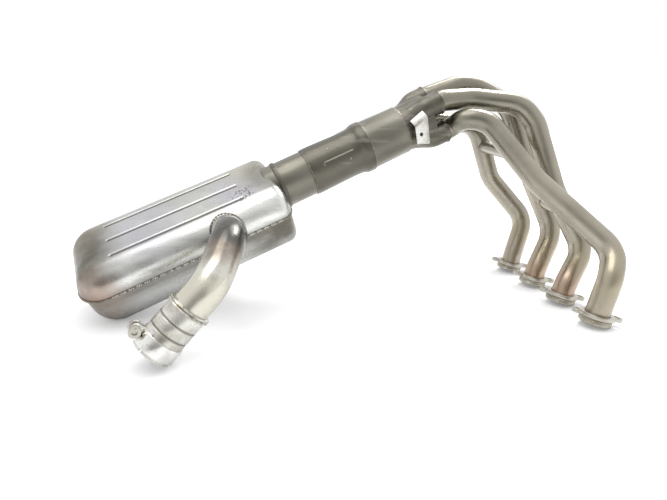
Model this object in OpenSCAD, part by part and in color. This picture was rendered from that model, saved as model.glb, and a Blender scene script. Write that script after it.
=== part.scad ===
// Four into one exhaust header with a silencing chamber, in millimetres.
// It lies as it was set down: port collars, outlet clamp and the chamber's low corner touch the floor at Z 0.
// The row of ports runs along Y, port 1 nearest, and the chamber lies towards -X.

/* [Primary tubes] */
// Distance between neighbouring ports
port_pitch = 85; // [80:0.5:90]
// Lean of the port axes from upright, towards +X
port_lean = 12; // [8:0.5:16]
// Outside diameter of a primary tube
tube_d = 35; // [32:0.5:37]
// Wall of a primary tube
tube_wall = 1.6; // [1.2:0.1:2.2]
// Outside diameter of a balance tube
balance_d = 20; // [16:0.5:22]

/* [Port flanges] */
// How far a port collar stands out from its tube
collar_stand = 5.5; // [4.5:0.5:7]
// Height of a port collar
collar_h = 10; // [8:0.5:13]
// Distance from a collar's edge to the centre of a stud hole
stud_reach = 6; // [5.5:0.5:9]
// Diameter of a stud hole
stud_hole_d = 8.5; // [7:0.1:9.5]
// Radius of the ear round a stud hole
ear_r = 8; // [7:0.5:9.5]
// Thickness of a flange plate
plate_t = 6; // [4:0.5:9]
// Turn of the loose flange plates about their tubes
plate_turn = -16; // [-30:1:0]

/* [Collector] */
// Distance between neighbouring tubes where they enter the collector
bundle_pitch = 52; // [48:0.5:55]
// Turn of the tube bundle about the main axis
bundle_roll = 10; // [0:1:20]
// Wall of the collector and of the pipes behind it
pipe_wall = 1.6; // [1.2:0.1:2.2]
// Length of the collector from its sockets to its neck
cone_len = 60; // [50:1:66]
// Depth of the collector's sockets for the tubes
socket_depth = 18; // [14:1:18]

/* [Mid pipe] */
// Outside diameter of the pipe at the collector's neck
neck_d = 82; // [78:0.5:84]
// Outside diameter of that pipe where the casing's flare holds it
flare_seat_d = 84; // [82:0.5:87]
// Length of that pipe
front_pipe_len = 80; // [72:1:88]
// Outside diameter of the casing behind its flare
casing_front_d = 77; // [75:0.5:80]
// Outside diameter of the casing at its rear end
casing_rear_d = 82; // [80:0.5:84]
// Length of the casing
casing_len = 108; // [98:1:118]
// Outside diameter of the pipe into the chamber
rear_pipe_d = 77; // [74:0.5:78]

/* [Chamber] */
// Width of the chamber across its ribbed face
chamber_w = 156; // [146:1:166]
// Length of the chamber
chamber_len = 336; // [310:1:350]
// Height of the upper shell above the pipe's axis
chamber_top = 34; // [31:0.5:38]
// Depth of the lower shell below the pipe's axis
chamber_bottom = 76.5; // [70:0.5:80]
// Radius of the chamber's long edges and its far end
edge_r = 41; // [36:0.5:46]
// Radius of the edges at the pipe's end
front_edge_r = 16; // [12:0.5:20]
// Sheet thickness of the chamber's shells
shell_wall = 1.5; // [1.2:0.1:2]
// Distance between the pressed beads of the ribbed face
bead_pitch = 37.5; // [30:0.5:39]
// Half width of a pressed bead
bead_r = 5; // [4:0.1:6]
// Depth of a pressed bead
bead_depth = 1.8; // [1:0.1:2.4]
// Width of the seam flange between the two shells
seam_flange = 3; // [2:0.1:5]

/* [Outlet] */
// Outside diameter of the outlet pipe
outlet_d = 50; // [46:0.5:52]
// Wall of the outlet pipe
outlet_wall = 1.6; // [1.2:0.1:2.2]
// Outside diameter of the silencer's pipe, which slips into the socket
mate_d = 50.8; // [48:0.2:54]
// Wall of the slotted socket
socket_wall = 1.8; // [1.5:0.1:2.5]
// Length of the slotted socket
socket_len = 68; // [60:1:80]
// Length of the slots in the socket's end
slot_len = 26; // [16:1:34]
// Width of the slots
slot_w = 3; // [2:0.1:5]
// Width of the clamp band
band_w = 20; // [16:0.5:24]
// Thickness of the clamp band
band_t = 1.6; // [1.2:0.1:2.5]
// Diameter of the clamp bolt's shank
bolt_d = 8; // [6:0.5:8]

/* [Support bracket] */
// Width of the bracket's plate
bracket_w = 25; // [22:0.5:30]
// Height of the bracket's plate
bracket_h = 37; // [32:0.5:44]
// Thickness of the bracket
bracket_t = 2; // [1.5:0.1:3]
// Diameter of the bracket's hole
bracket_hole_d = 6.5; // [5:0.1:9]

/* [Hidden] */
$fn = 96;

// Clearances
slip = 0.1;
loose = 0.6;
seat_gap = 0.3;

// Colours
tube_colour = [0.62, 0.57, 0.48];
dark_colour = [0.42, 0.40, 0.37];
steel_colour = [0.78, 0.78, 0.76];
chamber_colour = [0.70, 0.70, 0.70];

// Middle of the whole part, moved to the origin
middle = [-365, 138.44, 0];

// Ports
lean_dir = [sin(port_lean), 0, cos(port_lean)];
collar_chamfer = 1.5;
collar_r = tube_d / 2 + collar_stand;
stud_spacing = 2 * (collar_r + stud_reach);
face_height = (collar_r - collar_chamfer) * sin(port_lean);
function port(i) = [0, port_pitch * i, face_height];

// Main axis, from the collector's mouth down to the chamber
main_heading = 6.3;
main_slope = 22.6;
mouth = [-190, 241, 303];
function direction(heading, slope) =
  [cos(slope) * cos(heading), cos(slope) * sin(heading), sin(slope)];
main_dir = direction(main_heading, main_slope);
main_away = [-sin(main_heading), cos(main_heading), 0];
main_up = cross(main_dir, main_away);

// Places along the main axis, measured back from the mouth
neck_at = cone_len;
neck_r = neck_d / 2 - pipe_wall - slip;
front_pipe_at = neck_at + 2;
flare_lap = 12;
flare_at = front_pipe_at + front_pipe_len - flare_lap;
casing_end_at = flare_at + casing_len;
rear_pipe_at = casing_end_at - 10;
chamber_at = 300;
rear_pipe_end = chamber_at + 12;

// Corner i of the tube bundle: 0 low near, 1 high near, 2 high far, 3 low far
bundle_side = [[-1, -1], [-1, 1], [1, 1], [1, -1]];
function inlet(i) =
  mouth
  + main_away * bundle_pitch / 2 * (bundle_side[i][0] * cos(bundle_roll) - bundle_side[i][1] * sin(bundle_roll))
  + main_up * bundle_pitch / 2 * (bundle_side[i][0] * sin(bundle_roll) + bundle_side[i][1] * cos(bundle_roll));

// Length of each tube inside its socket, and its straight run before the socket
tube_end = 5;
straight_in = [25, 16, 16, 22];

// Each tube's route: stub at the port, corner after the port, free corners, corners before the collector
stub = [74, 30, 30, 30];
after_port = [[35, 26, 104], [49, 26, 80], [48, 27, 90], [37, 24, 96]];
free_corners = [
  [[-52, 115, 205], [-81, 150, 251]],
  [[10, 155, 181], [-19, 189, 290], [-43, 200, 323]],
  [[3, 235, 210], [-34, 259, 321]],
  [[-32, 306, 182], [-71, 308, 287]]
];
before_mouth = [
  [[67, -37, 22], [27, -26, 25]],
  [[68, 11, 10]],
  [[93, 10, 32]],
  []
];
tube_bends = [
  [38, 42, 90, 60, 40, 24, 22],
  [45, 45, 80, 40, 60, 60, 40],
  [45, 55, 100, 60, 70, 40],
  [50, 45, 60, 48, 40]
];
function tube_route(i) = concat(
  [port(i), port(i) + lean_dir * stub[i], port(i) + after_port[i]],
  free_corners[i],
  [for (c = before_mouth[i]) inlet(i) + c],
  [inlet(i) + main_dir * straight_in[i], inlet(i) - main_dir * tube_end]);
function on_leg(i, leg, part) =
  let (r = tube_route(i)) r[leg] + (r[leg + 1] - r[leg]) * part;
function leg_dir(i, leg) =
  let (r = tube_route(i)) r[leg + 1] - r[leg];

// Chamber: its own axis starts where the pipe enters
chamber_heading = 11.2;
chamber_slope = 20.3;
chamber_roll = 23.3;
chamber_dir = direction(chamber_heading, chamber_slope);
chamber_root = mouth - main_dir * chamber_at;
chamber_level = [-sin(chamber_heading), cos(chamber_heading), 0];
chamber_plumb = cross(chamber_dir, chamber_level);
chamber_away = chamber_level * cos(chamber_roll) + chamber_plumb * sin(chamber_roll);
chamber_up = chamber_plumb * cos(chamber_roll) - chamber_level * sin(chamber_roll);
function in_chamber_at(x, y, z) = chamber_root + chamber_dir * x + chamber_away * y + chamber_up * z;
seam_level = -3.6;
seam_gap = 0.1;
ring_len = 8;
ring_t = 2;
ring_back = 13;
ring_r = rear_pipe_d / 2 + slip + ring_t;
front_baffle_at = 0.46 * chamber_len;
rear_baffle_at = 0.71 * chamber_len;
corner_y = chamber_w / 2 - edge_r;
high_z = chamber_top - edge_r;
low_z = edge_r - chamber_bottom;

// Outlet: leaves the near upper edge, bends down and ends in the socket
outlet_back = 104;
outlet_lift = 32;
outlet_reach = 96;
outlet_foot = in_chamber_at(-outlet_back, -corner_y, high_z);
outlet_dir = chamber_up * sin(outlet_lift) - chamber_away * cos(outlet_lift);
socket_heading = -165;
socket_slope = -44.7;
socket_dir = direction(socket_heading, socket_slope);
socket_r = mate_d / 2 + slip + socket_wall;
socket_seat_r = outlet_d / 2 + slip + socket_wall;
band_r = socket_r + slip + band_t;
band_at = 4;
band_low = band_r * cos(socket_slope) + band_at * sin(socket_slope);
socket_end = [-635.5, -20, max(socket_r * cos(socket_slope), band_low)];
knee_at = 115;
outlet_inset = 14;
outlet_lap = 22;
outlet_route = [
  outlet_foot + outlet_dir * (edge_r - outlet_inset),
  outlet_foot + outlet_dir * outlet_reach,
  socket_end - socket_dir * knee_at,
  socket_end - socket_dir * (socket_len - outlet_lap)
];
outlet_bends = [50, 60];

// Swept tubes
sweep_sides = 18;
bend_step = 15;
function unit(v) = v / norm(v);
function corner_angle(a, b, c) = acos(max(-1, min(1, unit(b - a) * unit(c - b))));
function arc_points(a, b, c, r) =
  let (
    u = unit(b - a),
    angle = corner_angle(a, b, c),
    inward = unit(unit(c - b) - u * cos(angle)),
    start = b - u * r * tan(angle / 2),
    steps = max(2, ceil(angle / bend_step)))
  [for (k = [0 : steps])
    let (t = angle * k / steps)
    start + inward * r * (1 - cos(t)) + u * r * sin(t)];
function centreline(points, bends) = concat(
  [points[0]],
  [for (i = [1 : len(points) - 2]) each arc_points(points[i - 1], points[i], points[i + 1], bends[i - 1])],
  [points[len(points) - 1]]);
function tangent(line, i) =
  unit(line[min(i + 1, len(line) - 1)] - line[max(i - 1, 0)]);
function ring_points(centre, along, side_hint, r) =
  let (side = unit(cross(along, side_hint)), up = cross(side, along))
  [for (j = [0 : sweep_sides - 1])
    let (t = 360 * j / sweep_sides)
    centre + side * r * cos(t) + up * r * sin(t)];

// A hollow tube along a centreline: the outer rings first, then the inner rings
module swept_tube(line, side_hint, r, wall) {
  rings = len(line);
  n = sweep_sides;
  outer = [for (i = [0 : rings - 1]) each ring_points(line[i], tangent(line, i), side_hint, r)];
  inner = [for (i = [0 : rings - 1]) each ring_points(line[i], tangent(line, i), side_hint, r - wall)];
  shift = rings * n;
  last = (rings - 1) * n;
  walls = [for (i = [0 : rings - 2], j = [0 : n - 1])
    let (a = i * n + j, b = i * n + (j + 1) % n)
    each [
      [a, b, b + n], [a, b + n, a + n],
      [a + shift, b + shift + n, b + shift], [a + shift, a + shift + n, b + shift + n]]];
  ends = [for (j = [0 : n - 1])
    let (a = j, b = (j + 1) % n)
    each [
      [a, a + shift, b + shift], [a, b + shift, b],
      [last + a, last + b + shift, last + a + shift], [last + a, last + b, last + b + shift]]];
  polyhedron(points = concat(outer, inner), faces = concat(walls, ends), convexity = 10);
}

// Frames
module aim(point, along) {
  translate(point)
    rotate([0, acos(along[2] / norm(along)), atan2(along[1], along[0])])
      children();
}
module in_main() {
  translate(mouth) rotate([bundle_roll, -main_slope, main_heading]) children();
}
// X points back from the mouth along the main axis
module along_main() {
  aim(mouth, -main_dir) children();
}
module in_chamber() {
  translate(chamber_root) rotate([chamber_roll, -chamber_slope, chamber_heading]) children();
}
module at_socket() {
  aim(socket_end, -socket_dir) children();
}
module placed() {
  translate(-middle) children();
}
module pipe(r, wall, h) {
  rotate_extrude() translate([r - wall, 0]) square([wall, h]);
}

// Primary tubes
module primary_tube(i) {
  color(tube_colour) placed()
    swept_tube(centreline(tube_route(i), tube_bends[i]), [0, 1, 0], tube_d / 2, tube_wall);
}

// A turned collar with a shoulder for the flange plate and chamfered edges
module port_collar(i) {
  inner = tube_d / 2 + slip;
  outer = collar_r;
  color(tube_colour) placed() aim(port(i), lean_dir)
    rotate_extrude() polygon([
      [inner, 0], [outer - collar_chamfer, 0], [outer, collar_chamfer], [outer, collar_h - collar_chamfer],
      [outer - collar_chamfer, collar_h], [inner, collar_h]]);
}

// A loose oval plate with two stud holes, resting on the collar's shoulder
module flange_plate(i) {
  waist = collar_r + 2;
  color(steel_colour) placed() aim(port(i) + lean_dir * (collar_h + seat_gap), lean_dir) rotate([0, 0, plate_turn])
    difference() {
      union() {
        cylinder(r = waist, h = plate_t);
        for (side = [-1, 1])
          translate([side * stud_spacing / 2, 0, 0]) cylinder(r = ear_r, h = plate_t);
        linear_extrude(plate_t) square([stud_spacing, 2 * ear_r], center = true);
      }
      translate([0, 0, -1]) cylinder(d = tube_d + 2 * loose, h = plate_t + 2);
      for (side = [-1, 1])
        translate([side * stud_spacing / 2, 0, -1]) cylinder(d = stud_hole_d, h = plate_t + 2);
    }
}

// A short straight tube between two primary tubes, its ends shaped to sit on their walls
module balance_tube(i, leg_i, part_i, j, leg_j, part_j) {
  from = on_leg(i, leg_i, part_i);
  to = on_leg(j, leg_j, part_j);
  color(tube_colour) placed() difference() {
    aim(from, to - from) pipe(balance_d / 2, tube_wall, norm(to - from));
    aim(from, leg_dir(i, leg_i)) cylinder(r = tube_d / 2 + seat_gap, h = 3 * tube_d, center = true);
    aim(to, leg_dir(j, leg_j)) cylinder(r = tube_d / 2 + seat_gap, h = 3 * tube_d, center = true);
  }
}

// Four sockets in a body that draws together into one round neck
module collector_form(grow, front) {
  hull() {
    for (side = bundle_side)
      translate([-bundle_pitch / 2, side[0] * bundle_pitch / 2, side[1] * bundle_pitch / 2])
        rotate([0, 90, 0]) cylinder(r = tube_d / 2 + slip + grow, h = bundle_pitch / 2 - front, $fn = 32);
    translate([2 - neck_at, 0, 0]) rotate([0, 90, 0])
      cylinder(r = neck_r - pipe_wall + grow, h = 6, $fn = 64);
  }
}
module sockets(grow, from, to) {
  for (side = bundle_side)
    translate([from, side[0] * bundle_pitch / 2, side[1] * bundle_pitch / 2])
      rotate([0, 90, 0]) cylinder(r = tube_d / 2 + slip + grow, h = to - from);
}
module collector() {
  neck_lap = 14;
  mouth_x = socket_depth - 10;
  color(dark_colour) placed() in_main() difference() {
    union() {
      collector_form(pipe_wall, 10);
      sockets(pipe_wall, -12, mouth_x);
      translate([-neck_at - neck_lap, 0, 0]) rotate([0, 90, 0]) cylinder(r = neck_r, h = neck_lap + 4);
    }
    collector_form(0, 10 + pipe_wall);
    sockets(0, -13, mouth_x + 1);
    translate([-neck_at - neck_lap - 1, 0, 0]) rotate([0, 90, 0])
      cylinder(r = neck_r - pipe_wall, h = neck_lap + 6);
  }
}

// A folded sheet bracket on the collector's near side: a hanging plate, a top fold welded on, and a lip
module support_bracket() {
  fold = 45;
  fold_w = 27;
  fold_len = 24;
  lip = 5;
  top_left = [-9, bracket_h - 8];
  top_right = [bracket_w - 13, bracket_h + 9];
  tilt = atan2(top_right[1] - top_left[1], top_right[0] - top_left[0]);
  color(steel_colour) placed() in_main() difference() {
    translate([-58, -50 - bracket_t, -16]) rotate([0, 21, 2.5]) {
      difference() {
        rotate([90, 0, 0]) translate([0, 0, -bracket_t]) linear_extrude(bracket_t)
          polygon([[0, 0], [bracket_w, 0], top_right, top_left]);
        translate([bracket_w / 4, -1, bracket_h / 2 - 2]) rotate([-90, 0, 0])
          cylinder(d = bracket_hole_d, h = bracket_t + 2);
      }
      translate([0, 0, -bracket_t / 2]) cube([bracket_w, bracket_t + lip, bracket_t / 2]);
      translate([top_left[0], 0, top_left[1]]) rotate([0, -tilt, 0]) rotate([-fold, 0, 0])
        translate([0, 0, -0.6]) cube([fold_w, bracket_t, fold_len]);
    }
    collector_form(pipe_wall + seat_gap, 10);
    sockets(pipe_wall + seat_gap, -20, socket_depth);
  }
}

// The pipe between the collector's neck and the casing, widening towards the casing
module front_pipe() {
  outer = [[front_pipe_at, neck_d / 2], [front_pipe_at + 20, neck_d / 2], [flare_at - 6, flare_seat_d / 2],
    [flare_at + flare_lap, flare_seat_d / 2]];
  color(dark_colour) placed() along_main() rotate_extrude() polygon(concat(
    [for (p = outer) [p[1], p[0]]],
    [for (k = [len(outer) - 1 : -1 : 0]) [outer[k][1] - pipe_wall, outer[k][0]]]));
}

// The welded casing round the catalyst: a flare over the front pipe, a waist, then a slow widening
module catalyst_casing() {
  flare_r = flare_seat_d / 2 + slip + pipe_wall;
  outer = [[flare_at, flare_r], [flare_at + flare_lap, flare_r], [flare_at + flare_lap + 10, casing_front_d / 2],
    [casing_end_at - 8, casing_rear_d / 2], [casing_end_at, rear_pipe_d / 2 + slip + pipe_wall]];
  color(dark_colour) placed() along_main() rotate_extrude() polygon(concat(
    [for (p = outer) [p[1], p[0]]],
    [for (k = [len(outer) - 1 : -1 : 0]) [outer[k][1] - pipe_wall, outer[k][0]]]));
}

// The catalyst's monolith, held inside the casing
module catalyst_core() {
  core_start = flare_at + 26;
  core_r = casing_front_d / 2 - pipe_wall - seat_gap;
  color([0.35, 0.33, 0.30]) placed() along_main()
    translate([0, 0, core_start]) cylinder(r = core_r, h = rear_pipe_at - 6 - core_start);
}

// The pipe from the casing into the chamber
module rear_pipe() {
  color(dark_colour) placed() along_main()
    translate([0, 0, rear_pipe_at]) pipe(rear_pipe_d / 2, pipe_wall, rear_pipe_end - rear_pipe_at);
}
module rear_pipe_core(grow) {
  along_main() translate([0, 0, rear_pipe_at])
    cylinder(r = rear_pipe_d / 2 + grow, h = rear_pipe_end - rear_pipe_at + grow);
}

// The rounded form of the chamber, made smaller all round by inset
module chamber_form(inset) {
  r = edge_r - inset;
  front_r = front_edge_r - inset;
  hull() for (y = [-corner_y, corner_y], z = [low_z, high_z]) {
    translate([edge_r - chamber_len, y, z]) sphere(r = r, $fn = 32);
    for (t = [0, 45, 90])
      translate([-front_edge_r + front_r * sin(t) - 0.1, y, z]) rotate([0, 90, 0])
        cylinder(r = r - front_r * (1 - cos(t)), h = 0.1, $fn = 32);
  }
}
module chamber_plan(grow) {
  hull() {
    for (y = [-corner_y, corner_y]) {
      translate([edge_r - chamber_len, y]) circle(r = edge_r + grow, $fn = 48);
      translate([-front_edge_r, y * (chamber_w / 2 - front_edge_r) / corner_y])
        circle(r = front_edge_r + grow, $fn = 48);
    }
  }
}
module beads(grow) {
  rise = bead_r * bead_r / (2 * bead_depth) + bead_depth / 2;
  bead_start = -62;
  bead_end = 66 - chamber_len;
  for (k = [-1 : 1])
    translate([bead_end, k * bead_pitch, chamber_top - bead_depth + rise]) {
      rotate([0, 90, 0]) cylinder(r = rise + grow, h = bead_start - bead_end);
      sphere(r = rise + grow);
      translate([bead_start - bead_end, 0, 0]) sphere(r = rise + grow);
    }
}
module outlet_hole() {
  aim(outlet_foot, outlet_dir) cylinder(r = outlet_d / 2 + slip, h = 2 * edge_r);
}
module upper_half() {
  translate([-2 * chamber_len, -chamber_w, seam_level]) cube([3 * chamber_len, 2 * chamber_w, chamber_w]);
}
module lower_half() {
  translate([-2 * chamber_len, -chamber_w, seam_level - chamber_w]) cube([3 * chamber_len, 2 * chamber_w, chamber_w]);
}
// The flat rim that the seam weld joins, on one side of the seam
module seam_rim(from) {
  difference() {
    translate([0, 0, from]) linear_extrude(shell_wall) chamber_plan(seam_flange);
    chamber_form(shell_wall);
  }
}
// Room for the pipe, its ring and the outlet
module chamber_openings() {
  rear_pipe_core(slip);
  along_main() translate([0, 0, chamber_at - ring_back - 1])
    cylinder(r = ring_r + seat_gap, h = ring_len + 1 + seat_gap);
  outlet_hole();
}

// The upper clamshell half, with three long pressed beads
module chamber_upper_shell() {
  color(chamber_colour) placed() difference() {
    in_chamber() {
      difference() {
        chamber_form(0);
        beads(0);
        difference() {
          chamber_form(shell_wall);
          beads(shell_wall);
        }
        lower_half();
      }
      seam_rim(seam_level);
    }
    chamber_openings();
  }
}

// The deeper lower half
module chamber_lower_shell() {
  color(chamber_colour) placed() difference() {
    in_chamber() {
      difference() {
        chamber_form(0);
        chamber_form(shell_wall);
        translate([0, 0, -seam_gap]) upper_half();
      }
      seam_rim(seam_level - seam_gap - shell_wall);
    }
    chamber_openings();
  }
}

// The pressed ring where the pipe meets the chamber
module chamber_inlet_ring() {
  color(dark_colour) placed() along_main()
    translate([0, 0, chamber_at - ring_back]) pipe(ring_r, ring_t, ring_len);
}

// Baffles inside the chamber, sealed from view
module baffle(at, holes) {
  baffle_t = 1.5;
  inside = shell_wall + seat_gap;
  color(chamber_colour) placed() in_chamber() translate([-at, 0, 0]) difference() {
    rotate([90, 0, 90]) linear_extrude(baffle_t) hull()
      for (y = [-corner_y, corner_y], z = [low_z, high_z])
        translate([y, z]) circle(r = edge_r - inside - bead_depth, $fn = 32);
    for (y = holes)
      translate([-1, y, low_z + 20]) rotate([0, 90, 0]) cylinder(r = 18, h = baffle_t + 2);
  }
}

// The outlet pipe
module outlet_pipe() {
  color(steel_colour) placed()
    swept_tube(centreline(outlet_route, outlet_bends), [1, 0, -1], outlet_d / 2, outlet_wall);
}

// The rolled ring that joins the outlet pipe and the socket
module outlet_weld_ring() {
  bead = 2.5;
  color(dark_colour) placed() at_socket()
    translate([0, 0, socket_len + bead + seat_gap]) rotate_extrude()
      translate([outlet_d / 2 + slip + bead, 0]) circle(r = bead);
}

// The socket: a slotted end, a rolled stop for the pipe that slips in, then a step down to the outlet pipe
module outlet_socket() {
  stop_at = socket_len / 2;
  stop_in = 0.7;
  step_at = socket_len - outlet_lap + 4;
  outer = [[0, socket_r], [stop_at - 2, socket_r], [stop_at, socket_r - stop_in], [stop_at + 2, socket_r],
    [step_at, socket_r], [step_at + 2, socket_seat_r], [socket_len, socket_seat_r]];
  color(steel_colour) placed() at_socket() difference() {
    rotate_extrude() polygon(concat(
      [for (p = outer) [p[1], p[0]]],
      [for (k = [len(outer) - 1 : -1 : 0]) [outer[k][1] - socket_wall, outer[k][0]]]));
    for (a = [45 : 90 : 315])
      rotate([0, 0, a]) translate([outlet_d / 4, -slot_w / 2, -1]) cube([outlet_d, slot_w, slot_len + 1]);
  }
}

// The clamp: an open band with two lugs, its bolt and its nut
lug_gap = 7;
lug_t = 3;
lug_rise = 15;
bolt_out = band_r + 7.5;
bolt_high = band_at + band_w / 2;
module clamp_band() {
  color(steel_colour) placed() at_socket() difference() {
    union() {
      translate([0, 0, band_at]) pipe(band_r, band_t, band_w);
      for (side = [-1, 1])
        translate([-band_r - lug_rise + 0.5, side * (lug_gap + lug_t) / 2 - lug_t / 2, band_at])
          cube([lug_rise + band_t / 2, lug_t, band_w]);
    }
    translate([-2 * band_r, -lug_gap / 2, band_at - 1]) cube([band_r + band_r / 2, lug_gap, band_w + 2]);
    translate([-bolt_out, 0, bolt_high]) rotate([90, 0, 0]) cylinder(d = bolt_d + 2 * slip, h = 60, center = true);
  }
}
module clamp_bolt() {
  head_r = 7.5;
  head_h = 6;
  shank = lug_gap + 2 * lug_t + 12;
  color(steel_colour) placed() at_socket()
    translate([-bolt_out, -lug_gap / 2 - lug_t - seat_gap, bolt_high]) rotate([-90, 0, 0]) difference() {
      union() {
        translate([0, 0, -head_h]) cylinder(r = head_r, h = head_h);
        cylinder(d = bolt_d, h = shank);
      }
      translate([0, 0, -head_h - 1]) cylinder(r = 3.6, h = 4.5, $fn = 6);
    }
}
module clamp_nut() {
  nut_r = 7;
  nut_h = 6.5;
  color(steel_colour) placed() at_socket()
    translate([-bolt_out, lug_gap / 2 + lug_t + seat_gap, bolt_high]) rotate([-90, 0, 0]) difference() {
      cylinder(r = nut_r, h = nut_h, $fn = 6);
      translate([0, 0, -1]) cylinder(d = bolt_d + slip, h = nut_h + 2);
    }
}

primary_tube(0);  // primary_tube_1
primary_tube(1);  // primary_tube_2
primary_tube(2);  // primary_tube_3
primary_tube(3);  // primary_tube_4
port_collar(0);  // port_collar_1
port_collar(1);  // port_collar_2
port_collar(2);  // port_collar_3
port_collar(3);  // port_collar_4
flange_plate(0);  // flange_plate_1
flange_plate(1);  // flange_plate_2
flange_plate(2);  // flange_plate_3
flange_plate(3);  // flange_plate_4
balance_tube(0, 3, 0.8, 3, 3, 0.6);  // balance_tube_outer
balance_tube(1, 2, 0.6, 2, 2, 0.5);  // balance_tube_inner
collector();
support_bracket();
front_pipe();
catalyst_casing();
catalyst_core();
rear_pipe();
chamber_upper_shell();
chamber_lower_shell();
chamber_inlet_ring();
baffle(front_baffle_at, [-35, 35]);  // chamber_front_baffle
baffle(rear_baffle_at, [0]);  // chamber_rear_baffle
outlet_pipe();
outlet_weld_ring();
outlet_socket();
clamp_band();
clamp_bolt();
clamp_nut();
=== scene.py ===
# %% [markdown]
# # A four into one exhaust header
#
# This lesson dresses the solid model of a motorbike's exhaust header: four bent tubes, a collector,
# the pipe with the catalyst, a flat chamber pressed from two shells, and a curved outlet with a clamp.
# The solid model is loaded first and never moved. Each piece that needs smooth bends, pressed beads or
# weld beads is made again here in finer form, at the same place and the same size.

# %% Load the solid model
import math

import bmesh
import bpy
from mathutils import Matrix, Vector
from mathutils.bvhtree import BVHTree


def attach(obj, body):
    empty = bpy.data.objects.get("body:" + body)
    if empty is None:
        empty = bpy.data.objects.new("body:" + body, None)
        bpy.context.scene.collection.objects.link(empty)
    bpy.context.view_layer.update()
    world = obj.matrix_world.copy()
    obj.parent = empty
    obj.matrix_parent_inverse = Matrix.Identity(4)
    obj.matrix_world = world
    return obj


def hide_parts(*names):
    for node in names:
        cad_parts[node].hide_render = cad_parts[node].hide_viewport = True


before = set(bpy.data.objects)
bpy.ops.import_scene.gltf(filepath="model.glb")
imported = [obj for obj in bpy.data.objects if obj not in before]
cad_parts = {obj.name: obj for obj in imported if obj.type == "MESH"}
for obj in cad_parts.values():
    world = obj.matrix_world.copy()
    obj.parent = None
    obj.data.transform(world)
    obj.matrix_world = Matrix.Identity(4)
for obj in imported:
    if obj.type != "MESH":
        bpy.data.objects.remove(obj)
scene = bpy.context.scene
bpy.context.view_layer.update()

# %% [markdown]
# ## Lengths and places
#
# The drawing of the header is in millimetres on a bench, with the near port at zero. Blender works in
# metres about the middle of the whole part. One matrix does both, so every later step can think in
# millimetres on the bench. The same driving sizes as in the solid model are named here once.

# %% Driving sizes, in millimetres
MM = 0.001
MIDDLE = Vector((-365, 138.44, 0))
BENCH = Matrix.Scale(MM, 4) @ Matrix.Translation(-MIDDLE)

PORT_PITCH = 85
PORT_LEAN = math.radians(12)
TUBE_R = 17.5
TUBE_WALL = 1.6
COLLAR_R = 23
COLLAR_CHAMFER = 1.5
COLLAR_H = 10
LEAN_DIR = Vector((math.sin(PORT_LEAN), 0, math.cos(PORT_LEAN)))


def port(i):
    """Centre of port i's face on the bench."""
    return Vector((0, PORT_PITCH * i, (COLLAR_R - COLLAR_CHAMFER) * math.sin(PORT_LEAN)))


def turned(roll, slope, heading):
    """A turn about X, then Y, then Z, in degrees."""
    return (
        Matrix.Rotation(math.radians(heading), 4, "Z")
        @ Matrix.Rotation(math.radians(slope), 4, "Y")
        @ Matrix.Rotation(math.radians(roll), 4, "X")
    )


def slope_dir(heading, slope):
    """Unit vector with that compass heading and that climb, in degrees."""
    h, s = math.radians(heading), math.radians(slope)
    return Vector((math.cos(s) * math.cos(h), math.cos(s) * math.sin(h), math.sin(s)))


def aimed(point, direction):
    """A frame at a point whose Z runs along a direction."""
    return Matrix.Translation(point) @ direction.to_track_quat("Z", "Y").to_matrix().to_4x4()


MAIN_HEADING, MAIN_SLOPE, BUNDLE_ROLL = 6.3, 22.6, 10
MOUTH = Vector((-190, 241, 303))
MAIN_DIR = slope_dir(MAIN_HEADING, MAIN_SLOPE)
MAIN = Matrix.Translation(MOUTH) @ turned(BUNDLE_ROLL, -MAIN_SLOPE, MAIN_HEADING)
BUNDLE_HALF = 26
SIDES = [(-1, -1), (-1, 1), (1, 1), (1, -1)]
WELD_GAP = 0.1


def inlet(i):
    """Centre of collector socket i on the bench."""
    return MAIN @ Vector((0, SIDES[i][0] * BUNDLE_HALF, SIDES[i][1] * BUNDLE_HALF))


print("ports", [tuple(round(c) for c in port(i)) for i in range(4)])
print("sockets", [tuple(round(c) for c in inlet(i)) for i in range(4)])

# %% [markdown]
# ## The camera
#
# The photo was taken from a little above, at arm's length, with a wide lens, so near ports look larger
# than far ones. Setting the camera first lets every later piece be judged from the same place.

# %% Camera at the photo's place
CAMERA_PLACE = Vector((-487.8, -571.2, 311.0))
CAMERA_TURN = (73.3, 0.0, -8.8)
FRAME_WIDTH = 667
FOCAL_PIXELS = 462
SENSOR = 36


def put(name, data):
    """A new object in the scene."""
    made = bpy.data.objects.new(name, data)
    scene.collection.objects.link(made)
    return made


camera_data = bpy.data.cameras.new("photo_camera")
camera_data.sensor_width = SENSOR
camera_data.lens = SENSOR * FOCAL_PIXELS / FRAME_WIDTH
camera = put("photo_camera", camera_data)
camera.location = BENCH @ CAMERA_PLACE
camera.rotation_euler = [math.radians(a) for a in CAMERA_TURN]
scene.camera = camera
print("camera lens", round(camera_data.lens, 2), "mm at", [round(c, 3) for c in camera.location])

# %% [markdown]
# ## Nodes for metal
#
# Every finish here is bare stainless steel that heat and handling have coloured. A finish is a metallic
# Principled shader whose colour, roughness and bump come from a few layers: broad patches of heat
# tint, fine brushing stretched along one direction, and small dirt specks. Masks are grey: white where a
# layer shows and black where it doesn't. These short helpers build the layers, so that each finish below
# reads as a list of what one would see on the real piece.


# %% Helpers for materials
def add_node(tree, kind, output, sockets=None, **settings):
    """Adds a node with its settings, sets or links its sockets, and gives one of its outputs."""
    node = tree.nodes.new(kind)
    for name, value in settings.items():
        setattr(node, name, value)
    for socket, value in (sockets or {}).items():
        if isinstance(value, bpy.types.NodeSocket):
            tree.links.new(value, node.inputs[socket])
        else:
            node.inputs[socket].default_value = value
    return node.outputs[output]


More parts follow.
